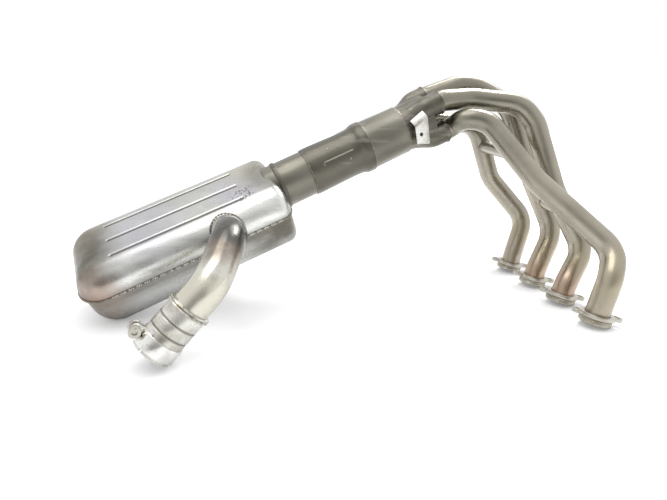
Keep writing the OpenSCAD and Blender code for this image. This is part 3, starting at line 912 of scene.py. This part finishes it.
# %% Pieces rounded from their solids
def rounded_copy(name, node, material, width, sharp_above=22, corner=None, corner_r=0.0):
    """Rounds the edges of a solid's copy, and first those that corner() picks, by more."""
    bm = bmesh.new()
    bm.from_mesh(bpy.data.objects[node].data)
    bmesh.ops.remove_doubles(bm, verts=bm.verts, dist=0.000004)
    bmesh.ops.dissolve_limit(bm, angle_limit=math.radians(1.0), verts=bm.verts, edges=bm.edges)
    if corner is not None:
        round_edges(bm, [e for e in bm.edges if corner(e)], corner_r * MM, 8)
    round_edges(bm, sharp_edges(bm, sharp_above), width * MM, clamp=True)
    finish_piece(name, bm, BENCH.inverted(), material, [node])


plate_material = layered(
    "plate_steel", (0.54, 0.525, 0.47), 0.28,
    [((0.48, 0.44, 0.36), 45, 4, 0.45, 0.66, 0.9), ((0.30, 0.22, 0.15), 260, 3, 0.62, 0.72, 0.7)],
    brush=(turned(0, 0, 25), 40, 1100),
).done()
for i in range(4):
    rounded_copy(f"loose_plate_{i + 1}", f"flange_plate_{i + 1}", plate_material, 0.7, 28)
print("plates", made_pieces["loose_plate_1"], "faces each")

# %% [markdown]
# ## The support bracket
#
# A bright folded sheet is welded to the collector and hangs down its near side. It is cleaner than the
# steel round it, since it never gets as hot. Its front face is drawn first, then two edges are folded
# back, and the folds are rounded as a press brake leaves them. The screw hole is cut last.

# %% Folded bracket
BRACKET_WALL = 2
BRACKET_FACE = ((0, 0, 0), (25, 0, 0), (14.5, 0, 46), (-7, 0, 30))
FOLD_R = 2.6
SCREW_HOLE_R = 3.25
bracket_material = layered(
    "bracket_steel", (0.80, 0.79, 0.75), 0.26,
    [((0.62, 0.60, 0.55), 70, 3, 0.45, 0.65), ((0.34, 0.30, 0.25), 320, 3, 0.64, 0.74, 0.8)],
    brush=(MAIN, 60, 1000),
).done()
sheet_place = MAIN @ Matrix.Translation((-58, -52, -16)) @ turned(0, 21, 2.5)
bm = bmesh.new()
front = [bm.verts.new(c) for c in BRACKET_FACE]
bm.faces.new(front)
bottom, top = bm.edges.get(front[:2]), bm.edges.get(front[2:])
bmesh.ops.translate(bm, verts=extruded(bm, [bottom])[0], vec=(0, 6.5, 0))
top_line = (front[2].co - front[3].co).normalized()
back_up = (Vector((-top_line.z, 0, top_line.x)) + Vector((0, 1, 0))).normalized()
for v in extruded(bm, [top])[0]:
    reach = collector_tree.ray_cast(sheet_place @ v.co, sheet_place.to_3x3() @ back_up, 40)[3]
    v.co += back_up * (min(reach, 15) - 1.5 if reach else 13)
round_edges(bm, [bottom, top], FOLD_R, 5)
bmesh.ops.recalc_face_normals(bm, faces=bm.faces)
if sum(f.normal.y for f in bm.faces) > 0:
    bmesh.ops.reverse_faces(bm, faces=bm.faces)
bmesh.ops.solidify(bm, geom=bm.faces[:], thickness=BRACKET_WALL)
round_edges(bm, sharp_edges(bm, 50), 0.35)
folded = finish_piece("folded_bracket", bm, sheet_place, bracket_material,
                      ["support_bracket"])
screw_hole = sheet_place @ Matrix.Translation((6.25, 7, 16.5)) @ turned(90, 0, 0)
cut_out([round_cutter(screw_hole, SCREW_HOLE_R, 12, 48)], folded)
print("bracket", made_pieces["folded_bracket"], "faces")

# %% [markdown]
# ## The chamber
#
# Two pressed shells make the chamber: a shallow upper one with three long beads, and a deep lower one.
# The closed form comes first. One flat face has its corners rounded, is extruded to the chamber's
# length, and then each end is inset again and again: each inset goes in a little and out a little along
# a quarter circle, which rounds the end as a press tool does.

# %% The closed form of the chamber
CHAMBER = Matrix.Translation(MOUTH - MAIN_DIR * CHAMBER_AT) @ turned(23.3, -20.3, 11.2)
CHAMBER_W, CHAMBER_LEN = 156, 336
CHAMBER_TOP, CHAMBER_BOTTOM = 34, 76.5
EDGE_R, FRONT_EDGE_R = 41, 16
SHELL_WALL = 1.5
SEAM_LEVEL = -3.6

section = (
    Matrix.Translation((EDGE_R - CHAMBER_LEN, 0, (CHAMBER_TOP - CHAMBER_BOTTOM) / 2))
    @ Matrix.Rotation(math.radians(90), 4, "Y")
    @ Matrix.Diagonal((CHAMBER_TOP + CHAMBER_BOTTOM, CHAMBER_W, 1, 1))
)
body = bmesh.new()
bmesh.ops.create_grid(body, x_segments=1, y_segments=1, size=0.5)
bmesh.ops.transform(body, matrix=section, verts=body.verts)
bmesh.ops.bevel(body, geom=body.verts[:], affect="VERTICES", offset=EDGE_R, segments=16, profile=0.5,
                material=-1)
front = bmesh.ops.extrude_face_region(body, geom=body.faces[:])["geom"]
bmesh.ops.translate(body, verts=[g for g in front if isinstance(g, bmesh.types.BMVert)],
                    vec=(CHAMBER_LEN - EDGE_R - FRONT_EDGE_R, 0, 0))
bmesh.ops.recalc_face_normals(body, faces=body.faces)
ends = sorted((f for f in body.faces if len(f.verts) > 8), key=lambda f: f.calc_center_median().x)
for end, radius, turn, steps in ((ends[0], EDGE_R, 84, 14), (ends[-1], FRONT_EDGE_R, 90, 7)):
    for k in range(steps):
        t0, t1 = math.radians(turn * k / steps), math.radians(turn * (k + 1) / steps)
        bmesh.ops.inset_region(body, faces=[end], use_boundary=True, use_even_offset=True,
                               thickness=radius * (math.cos(t0) - math.cos(t1)),
                               depth=radius * (math.sin(t1) - math.sin(t0)))
print("chamber form", len(body.faces), "faces")

# %% [markdown]
# The form is then cut along the seam. On the upper half, extra lines are cut where the beads run, and
# the points between them sink by a smooth rounded profile, so a bead has soft shoulders and round ends.
# Along the cut edge both halves turn outwards into a narrow rim, and each gets the thickness of its sheet.

# %% Beads, rims and walls of the two shells
BEAD_PITCH, BEAD_R, BEAD_DEPTH = 37.5, 5, 1.8
BEAD_START, BEAD_END = -62, 66 - CHAMBER_LEN
BEAD_ROWS = (-1, 0, 1)
TOP_ABOVE = 18
RIM = 3.0


def cut_lines(bm, axis, positions):
    """Cuts lines across the top faces, at positions along X (axis 0) or Y (axis 1)."""
    normal = Vector((1 - axis, axis, 0))
    for position in positions:
        faces = [f for f in bm.faces if f.calc_center_median().z > TOP_ABOVE]
        edges = list(dict.fromkeys(e for f in faces for e in f.edges))
        verts = list(dict.fromkeys(v for f in faces for v in f.verts))
        bmesh.ops.bisect_plane(bm, geom=verts + edges + faces, plane_co=normal * position, plane_no=normal)


def half_shell(keep_upper):
    """The part of the closed form above the seam, or the part just below it."""
    bm = body.copy()
    level = SEAM_LEVEL if keep_upper else SEAM_LEVEL - WELD_GAP
    bmesh.ops.bisect_plane(bm, geom=bm.verts[:] + bm.edges[:] + bm.faces[:], plane_co=(0, 0, level),
                           plane_no=(0, 0, 1), clear_inner=keep_upper, clear_outer=not keep_upper)
    return bm


def turn_out_rim(bm):
    """Extrudes the open edge outwards by the rim's width, and gives the line where its bead lies."""
    bm.normal_update()
    edge = [e for e in bm.edges if e.is_boundary]
    outward = {
        tuple(round(c, 4) for c in v.co): Vector((v.normal.x, v.normal.y, 0)).normalized()
        for e in edge for v in e.verts
    }
    line = []
    for v in extruded(bm, edge)[0]:
        way = outward[tuple(round(c, 4) for c in v.co)]
        v.co += way * RIM
        line.append(v.co - way * 0.4)
    return line


upper = half_shell(True)
across = (-5.4, -4.6, -3.8, -3.0, -2.2, -1.4, -0.7, 0, 0.7, 1.4, 2.2, 3.0, 3.8, 4.6, 5.4)
round_end = (0, 1.2, 2.4, 3.5, 4.5, 5.4)
cut_lines(upper, 1, [k * BEAD_PITCH + o for k in BEAD_ROWS for o in across])
cut_lines(upper, 0, [BEAD_START + o for o in round_end] + [BEAD_END - o for o in round_end])
upper.normal_update()
bead_layer = upper.verts.layers.float.new("bead")
for v in [v for v in upper.verts if v.co.z > TOP_ABOVE]:
    beyond = max(0.0, v.co.x - BEAD_START, BEAD_END - v.co.x)
    off = min(math.hypot(beyond, v.co.y - k * BEAD_PITCH) for k in BEAD_ROWS)
    if off < BEAD_R:
        v[bead_layer] = 0.5 + 0.5 * math.cos(math.pi * off / BEAD_R)
        v.co -= v.normal * BEAD_DEPTH * v[bead_layer]
seam_line = sorted(turn_out_rim(upper), key=lambda p: math.atan2(p.y, p.x + CHAMBER_LEN / 2))
lower = half_shell(False)
turn_out_rim(lower)
print("upper shell", len(upper.faces), "lower shell", len(lower.faces), "seam points", len(seam_line))

# %% [markdown]
# The chamber's steel is the brightest on the part, yet full of colour: lavender and straw where the pipe
# heats it, brown at the far end, painted shade in the beads, soot beside the pipe, and fine scratches along
# its length. Along the near side each shell also gets two painted bands: the upper shell a painted
# highlight on its near edge and painted shade just above the rim, the lower shell painted shade just
# below the rim and a pale painted reflection lower down.


# %% Finish of the chamber
def in_chamber(x, y, z):
    """A place in the chamber's own frame, in metres of the whole part's frame."""
    return BENCH @ CHAMBER @ Vector((x, y, z))


def chamber_finish(name, colour, roughness, tints, painted_light_bands):
    """Steel of one shell, with its painted bands of highlight and shade along the near side and its tints
    round places.
    """
    f = Finish(name, colour, roughness)
    inward, level = f.along(CHAMBER, 1), f.along(CHAMBER, 2)
    # Painted highlight and painted shade, laid in bands along the near side of the shell.
    for band, side, low, high, strength in painted_light_bands:
        height = f.window(level, low - 0.004, low + 0.004, high - 0.004, high + 0.004)
        f.paint(band, f.times(f.between(inward, side + 0.012, side), height, strength))
    clouds = f.noise(1.0, 4, vector=f.mapped(CHAMBER, (5, 16, 16)))
    f.paint((0.50, 0.49, 0.47), f.ramp(clouds, 0.42, 0.66, 0.8))
    streaks = f.noise(1.0, 4, 0.6, f.mapped(CHAMBER, (4, 160, 160)))
    f.paint((0.36, 0.33, 0.30), f.ramp(streaks, 0.54, 0.76, 0.40))
    for tint, place, inner, outer, strength in tints:
        edge = f.near(in_chamber(*place), inner, outer)
        f.paint(tint, f.times(edge, strength, f.spots(30, 3, 0.25, 0.60, 1.0, 0.5)))
    f.paint((0.16, 0.14, 0.12), f.spots(380, 3, 0.66, 0.73, 0.35))
    soot = f.times(f.near(in_chamber(-58, -28, 34), 0.006, 0.026), f.spots(260, 3, 0.50, 0.58))
    f.paint((0.10, 0.09, 0.10), f.times(soot, 0.9))
    # Painted shade in the sunk beads, darkest where they are deepest; the beads are also made rougher there.
    bead_painted_shade = f.ramp(f.attribute("bead"), 0.22, 0.62)
    f.paint((0.13, 0.12, 0.11), f.times(bead_painted_shade, 0.92)).dull(0.25, bead_painted_shade)
    f.brushed(CHAMBER, 14, 1300).dull(0.14, f.spots(38, 4, 0.42, 0.72)).raise_by(0.0006, f.noise(11, 1))
    return f.done()


# Tints: colour, place in the chamber's frame (mm), inner and outer reach (m), strength.
upper_tints = [
    ((0.14, 0.128, 0.102), (-338, -10, 0), 0.055, 0.108, 0.94),
    ((0.26, 0.23, 0.18), (-322, 55, 5), 0.030, 0.090, 0.85),
    ((0.46, 0.33, 0.27), (-305, -66, 0), 0.012, 0.050, 0.7),
    ((0.56, 0.55, 0.66), (-62, -8, 34), 0.010, 0.060, 0.55),
    ((0.56, 0.52, 0.40), (-30, 30, 34), 0.015, 0.070, 0.45),
    ((0.52, 0.52, 0.62), (-215, -10, 34), 0.020, 0.085, 0.45),
    ((0.17, 0.16, 0.13), (10, 0, -20), 0.054, 0.092, 0.92),
]
lower_tints = [
    ((0.24, 0.20, 0.16), (-335, -30, -20), 0.035, 0.100, 0.8),
    ((0.45, 0.36, 0.30), (-300, -75, -14), 0.010, 0.050, 0.5),
    ((0.46, 0.47, 0.52), (-240, -70, -50), 0.020, 0.090, 0.25),
    ((0.15, 0.14, 0.11), (-10, -50, -30), 0.035, 0.110, 0.9),
]
# Painted bands of highlight and shade: colour, how far to the near side they start, lowest and highest level
# (all in m), strength.
upper_painted_highlight_and_shade = [
    ((0.93, 0.94, 0.90), -0.047, 0.004, 0.030, 0.90),
    ((0.30, 0.275, 0.22), -0.060, -0.012, 0.000, 0.75),
]
lower_painted_highlight_and_shade = [
    ((0.20, 0.185, 0.145), -0.060, -0.018, 0.006, 0.70),
    ((0.86, 0.87, 0.84), -0.056, -0.056, -0.026, 0.6),
]
upper_material = chamber_finish("upper_shell_steel", (0.62, 0.625, 0.60), 0.20, upper_tints, upper_painted_highlight_and_shade)
lower_material = chamber_finish("lower_shell_steel", (0.56, 0.55, 0.51), 0.18, lower_tints, lower_painted_highlight_and_shade)
print("chamber finishes", upper_material.name, lower_material.name)

# %% [markdown]
# The pipe and the outlet pass through round holes. A boolean with two plain cylinders cuts them, and its
# result is baked at once, so the finished shells carry no live modifier.

# %% Holes for the pipe and the outlet
OUTLET_R, OUTLET_WALL = 25, 1.6
OUTLET_LIFT = math.radians(32)
OUTLET_FOOT = CHAMBER @ Vector((-104, -37, -7))
OUTLET_DIR = (CHAMBER.to_3x3() @ Vector((0, -math.cos(OUTLET_LIFT), math.sin(OUTLET_LIFT)))).normalized()
PIPE_CUT_AT = 270

shell_tree = BVHTree.FromBMesh(body)
shells = []
for name, bm, node, material in (
    ("ribbed_shell", upper, "chamber_upper_shell", upper_material),
    ("deep_shell", lower, "chamber_lower_shell", lower_material),
):
    hollow(bm, SHELL_WALL)
    shells.append(finish_piece(name, bm, CHAMBER, material, [node], sharp=40))
pipe_cut = aimed(MOUTH - MAIN_DIR * PIPE_CUT_AT, -MAIN_DIR)
cutters = [
    round_cutter(pipe_cut, REAR_R + WELD_GAP, CHAMBER_AT + 12 - PIPE_CUT_AT, 96),
    round_cutter(aimed(OUTLET_FOOT, OUTLET_DIR), OUTLET_R + WELD_GAP, 82, 96),
]
cut_out(cutters, *shells)
print("shells", made_pieces["ribbed_shell"], made_pieces["deep_shell"], "faces")

# %% [markdown]
# Weld beads finish the chamber: one runs all along the rim, with a row of short bright stitches over it on
# both long sides, and one lies round the foot of the outlet. The rim's bead is laid only where it stays
# clear of the pipe and the outlet.

# %% Weld beads of the chamber
RIM_BEAD_R, STITCH_R, FOOT_BEAD_R = 1.3, 1.6, 2.2
STITCH_OUT = 2.2
to_chamber = CHAMBER.inverted()
local_foot = to_chamber @ OUTLET_FOOT
local_out = to_chamber.to_3x3() @ OUTLET_DIR


def beside_outlet(p):
    """Distance from the outlet's axis, in the chamber's frame."""
    return (p - local_foot).cross(local_out).length


def rim_is_clear(p):
    """Whether the rim's bead can lie at a place in the chamber's frame."""
    return p.x < -2 and beside_outlet(p) > OUTLET_R + 2 or p.x < -150


runs = [[]]
first_gap = next((k for k, p in enumerate(seam_line) if not rim_is_clear(p)), 0)
for p in seam_line[first_gap:] + seam_line[:first_gap]:
    if rim_is_clear(p):
        runs[-1].append(CHAMBER @ (p - Vector((0, 0, 0.05))))
    elif runs[-1]:
        runs.append([])
for k, line in enumerate(r for r in runs if len(r) > 2):
    rippled_bead(f"rim_weld_{k + 1}", line, RIM_BEAD_R, weld_material, drop=4.2, closed=False)
stitches = 0
for side in (-1, 1):
    y = side * (CHAMBER_W / 2 + STITCH_OUT)
    for start in range(-292, -24, 12):
        line = [Vector((start + step, y, SEAM_LEVEL)) for step in (0, 4.5, 9)]
        if all(beside_outlet(p) > OUTLET_R + 3 for p in line):
            stitches += 1
            line = [CHAMBER @ p for p in line]
            rippled_bead(f"seam_stitch_{stitches}", line, STITCH_R, stitch_material, drop=3.6, closed=False)
outlet_axis = to_chamber @ aimed(OUTLET_FOOT, OUTLET_DIR)
foot_line = [CHAMBER @ p for p in meeting_line(shell_tree, outlet_axis, OUTLET_R + 0.8, 90, 96)]
rippled_bead("outlet_foot_weld", foot_line, FOOT_BEAD_R, weld_material, drop=3.6)
print("seam runs", [len(r) for r in runs], "foot points", len(foot_line))

# %% [markdown]
# ## The outlet
#
# A wider tube leaves the chamber's near edge, bends down and ends in a slotted socket. Polished once, it
# now shows blue grey at the chamber, then copper, then gold, which is the order of heat tints as the
# steel gets cooler away from the hot end.

# %% Outlet pipe
SOCKET_SLOPE = 44.7
SOCKET_DIR = slope_dir(-165, -SOCKET_SLOPE)
SOCKET_R = 50.8 / 2 + WELD_GAP + 1.8
BAND_R = SOCKET_R + WELD_GAP + 1.6
BAND_AT = 4
tilt = math.radians(SOCKET_SLOPE)
band_low = BAND_R * math.cos(tilt) - BAND_AT * math.sin(tilt)
SOCKET_END = Vector((-635.5, -20, max(SOCKET_R * math.cos(tilt), band_low)))
SOCKET_LEN, OUTLET_LAP = 68, 22
SOCKET = aimed(SOCKET_END, -SOCKET_DIR)
outlet_route = [
    OUTLET_FOOT + OUTLET_DIR * (EDGE_R - 14),
    OUTLET_FOOT + OUTLET_DIR * 96,
    SOCKET_END - SOCKET_DIR * 115,
    SOCKET_END - SOCKET_DIR * (SOCKET_LEN - OUTLET_LAP),
]

f = Finish("outlet_steel", (0.74, 0.73, 0.68), 0.20)
wavy = f.maths("ADD", f.attribute("along"), f.times(f.noise(26, 2), 0.04))
f.paint((0.135, 0.13, 0.12), f.between(wavy, 0.160, 0.122))
f.paint((0.44, 0.35, 0.27), f.times(f.window(wavy, 0.104, 0.126, 0.142, 0.164), 0.35))
f.paint((0.66, 0.60, 0.42), f.times(f.window(wavy, 0.150, 0.172, 0.195, 0.235), 0.4))
f.paint((0.42, 0.40, 0.35), f.spots(34, 4, 0.52, 0.72, 0.7))
f.paint((0.18, 0.15, 0.12), f.spots(420, 2, 0.66, 0.74, 0.5))
f.dull(0.12, f.spots(55, 3, 0.42, 0.74))
f.raise_by(0.00003, f.noise(420, 3)).raise_by(0.0002, f.noise(30, 2))
bm, _ = swept_skin(frames_on(bent_line(outlet_route, [50, 60], step=4)), OUTLET_R, 72)
hollow(bm, OUTLET_WALL)
finish_piece("bent_outlet", bm, Matrix(), f.done(), ["outlet_pipe"])
print("outlet", made_pieces["bent_outlet"], "faces")

# %% [markdown]
# The socket and the clamp keep the shape of their solids, with every edge rounded. Two dark lines run
# round the socket where the photo shows its steps. The ring above the socket is rolled with two ridges, so
# it is spun from its own small profile.

# %% Socket, ring and clamp
f = layered(
    "socket_steel", (0.76, 0.75, 0.70), 0.24,
    [((0.50, 0.48, 0.42), 42, 4, 0.44, 0.64, 0.9), ((0.20, 0.16, 0.12), 300, 3, 0.63, 0.73, 0.7)],
)
up_socket = f.along(SOCKET, 2)
# Painted shade in two dark lines at the socket's steps, which are also sunk a little by bump.
for low, high in ((0.0326, 0.0352), (0.0494, 0.0522)):
    step_painted_shade = f.window(up_socket, low - 0.0005, low + 0.0005, high - 0.0005, high + 0.0005)
    f.paint((0.17, 0.15, 0.12), f.times(step_painted_shade, 0.75)).raise_by(-0.0005, step_painted_shade)
f.brushed(SOCKET @ turned(0, 90, 0), 1500, 40)
rounded_copy("slotted_socket", "outlet_socket", f.done(), 0.3)

outline = [
    (25.15, 68.3), (27.6, 68.3), (29.4, 68.7), (30.1, 69.7), (29.5, 70.8), (28.0, 71.6), (29.2, 72.3),
    (29.9, 73.4), (29.2, 74.6), (27.4, 75.2), (25.15, 75.2),
]
bm = spun([(r, 0, z) for r, z in outline], (0, 0, 1), 96)
finish_piece("double_ridge_ring", bm, SOCKET, stitch_material, ["outlet_weld_ring"])

clamp_material = layered(
    "clamp_steel", (0.92, 0.92, 0.89), 0.20,
    [((0.68, 0.66, 0.60), 60, 4, 0.48, 0.68, 0.8), ((0.50, 0.40, 0.42), 24, 2, 0.50, 0.64, 0.5),
     ((0.22, 0.17, 0.12), 330, 3, 0.62, 0.72, 0.8)],
    [(0.00006, 380, 3)],
).done()
socket_back = (BENCH @ SOCKET).inverted()


def lug_corner(edge):
    """Whether an edge is an outer corner of a lug, seen in the socket's frame."""
    a, b = (socket_back @ v.co for v in edge.verts)
    return min(a.y, b.y) > BAND_R + 13 and abs(a.x - b.x) > 2


rounded_copy("slim_band", "clamp_band", clamp_material, 0.35, corner=lug_corner, corner_r=7)
rounded_copy("cap_bolt", "clamp_bolt", plate_material, 0.5)
rounded_copy("hex_nut", "clamp_nut", plate_material, 0.4)
print("socket", made_pieces["slotted_socket"], "band", made_pieces["slim_band"])

# %% [markdown]
# ## Pieces inside
#
# The catalyst core and the two baffles can't be seen from outside. Their solids stay as they are and get
# a dull sooty finish, so that a cut through the part would still look right.

# %% Hidden pieces
inside_material = layered(
    "sooty_foil", (0.30, 0.28, 0.25), 0.5, [((0.14, 0.12, 0.10), 90, 4, 0.40, 0.70)], [(0.0002, 700, 1)],
).done()
for node in ("catalyst_core", "chamber_front_baffle", "chamber_rear_baffle"):
    materials = bpy.data.objects[node].data.materials
    materials.clear()
    materials.append(inside_material)
print("hidden pieces finished")

# %% [markdown]
# ## Floor, surroundings and light
#
# The header lies on a white cloth in a bright room. The floor is pale and keeps the soft shadow. It also
# glows a little for the camera, more so far away, where it has to meet the white surroundings.

# %% Floor
cloth = Finish("white_cloth", (0.86, 0.865, 0.875), 0.9, metallic=0.0)
fade = cloth.between(cloth.distance((0, 0, 0)), 0.5, 1.9, 0.24)
for_camera = add_node(cloth.tree, "ShaderNodeLightPath", "Is Camera Ray")
cloth.shader.inputs["Emission Color"].default_value = (1, 1, 1, 1)
cloth.tree.links.new(cloth.times(for_camera, fade), cloth.shader.inputs["Emission Strength"])
bm = bmesh.new()
bmesh.ops.create_grid(bm, x_segments=1, y_segments=1, size=6)
floor = put("floor", mesh_of("floor", bm))
floor.data.materials.append(cloth.done())
print("floor ready")

# %% [markdown]
# The surroundings are white where the camera sees them. For reflections they get darker towards the
# viewer's side, because bare metal only shows its shape when it has something dark to mirror. A window,
# a narrow strip and a broad ceiling light do the rest.

# %% Surroundings and lamps
world = bpy.data.worlds.new("bright_room")
scene.world = world
world.use_nodes = True
room = world.node_tree
direction = add_node(room, "ShaderNodeTexCoord", "Generated")
to_viewer = {0: direction, 1: (-0.15, -0.98, 0.08)}
facing = add_node(room, "ShaderNodeVectorMath", "Value", to_viewer, operation="DOT_PRODUCT")
shade = room.nodes.new("ShaderNodeValToRGB")
stops = shade.color_ramp.elements
stops[0].position, stops[0].color = 0.72, (0.95, 0.95, 0.95, 1)
stops[1].position, stops[1].color = 0.99, (0.34, 0.34, 0.33, 1)
stops.new(0.90).color = (0.78, 0.78, 0.78, 1)
half_facing = add_node(room, "ShaderNodeMapRange", "Result", {"Value": facing, "From Min": -1, "From Max": 1})
room.links.new(half_facing, shade.inputs["Fac"])
for_camera = add_node(room, "ShaderNodeLightPath", "Is Camera Ray")
sockets = {"Factor": for_camera, "A": shade.outputs["Color"], "B": (1, 1, 1, 1)}
seen = add_node(room, "ShaderNodeMix", "Result", sockets, data_type="RGBA")
background = room.nodes["Background"]
background.inputs["Strength"].default_value = 1.0
room.links.new(seen, background.inputs["Color"])


def soft_lamp(name, place, target, size, watts):
    """A square lamp of soft light, aimed at a target."""
    lamp_data = bpy.data.lights.new(name, "AREA")
    lamp_data.shape = "SQUARE"
    lamp_data.size = size
    lamp_data.energy = watts
    lamp = put(name, lamp_data)
    lamp.location = place
    lamp.rotation_euler = (Vector(target) - Vector(place)).to_track_quat("-Z", "Y").to_euler()


soft_lamp("window", (0.9, 0.9, 1.7), (0, 0, 0.1), 1.2, 14)
soft_lamp("strip", (0.75, 0.55, 1.25), (0.2, 0, 0.15), 0.22, 7)
soft_lamp("ceiling", (-0.5, -0.3, 2.2), (-0.1, 0, 0.1), 1.6, 14)
scene.view_settings.view_transform = "Standard"
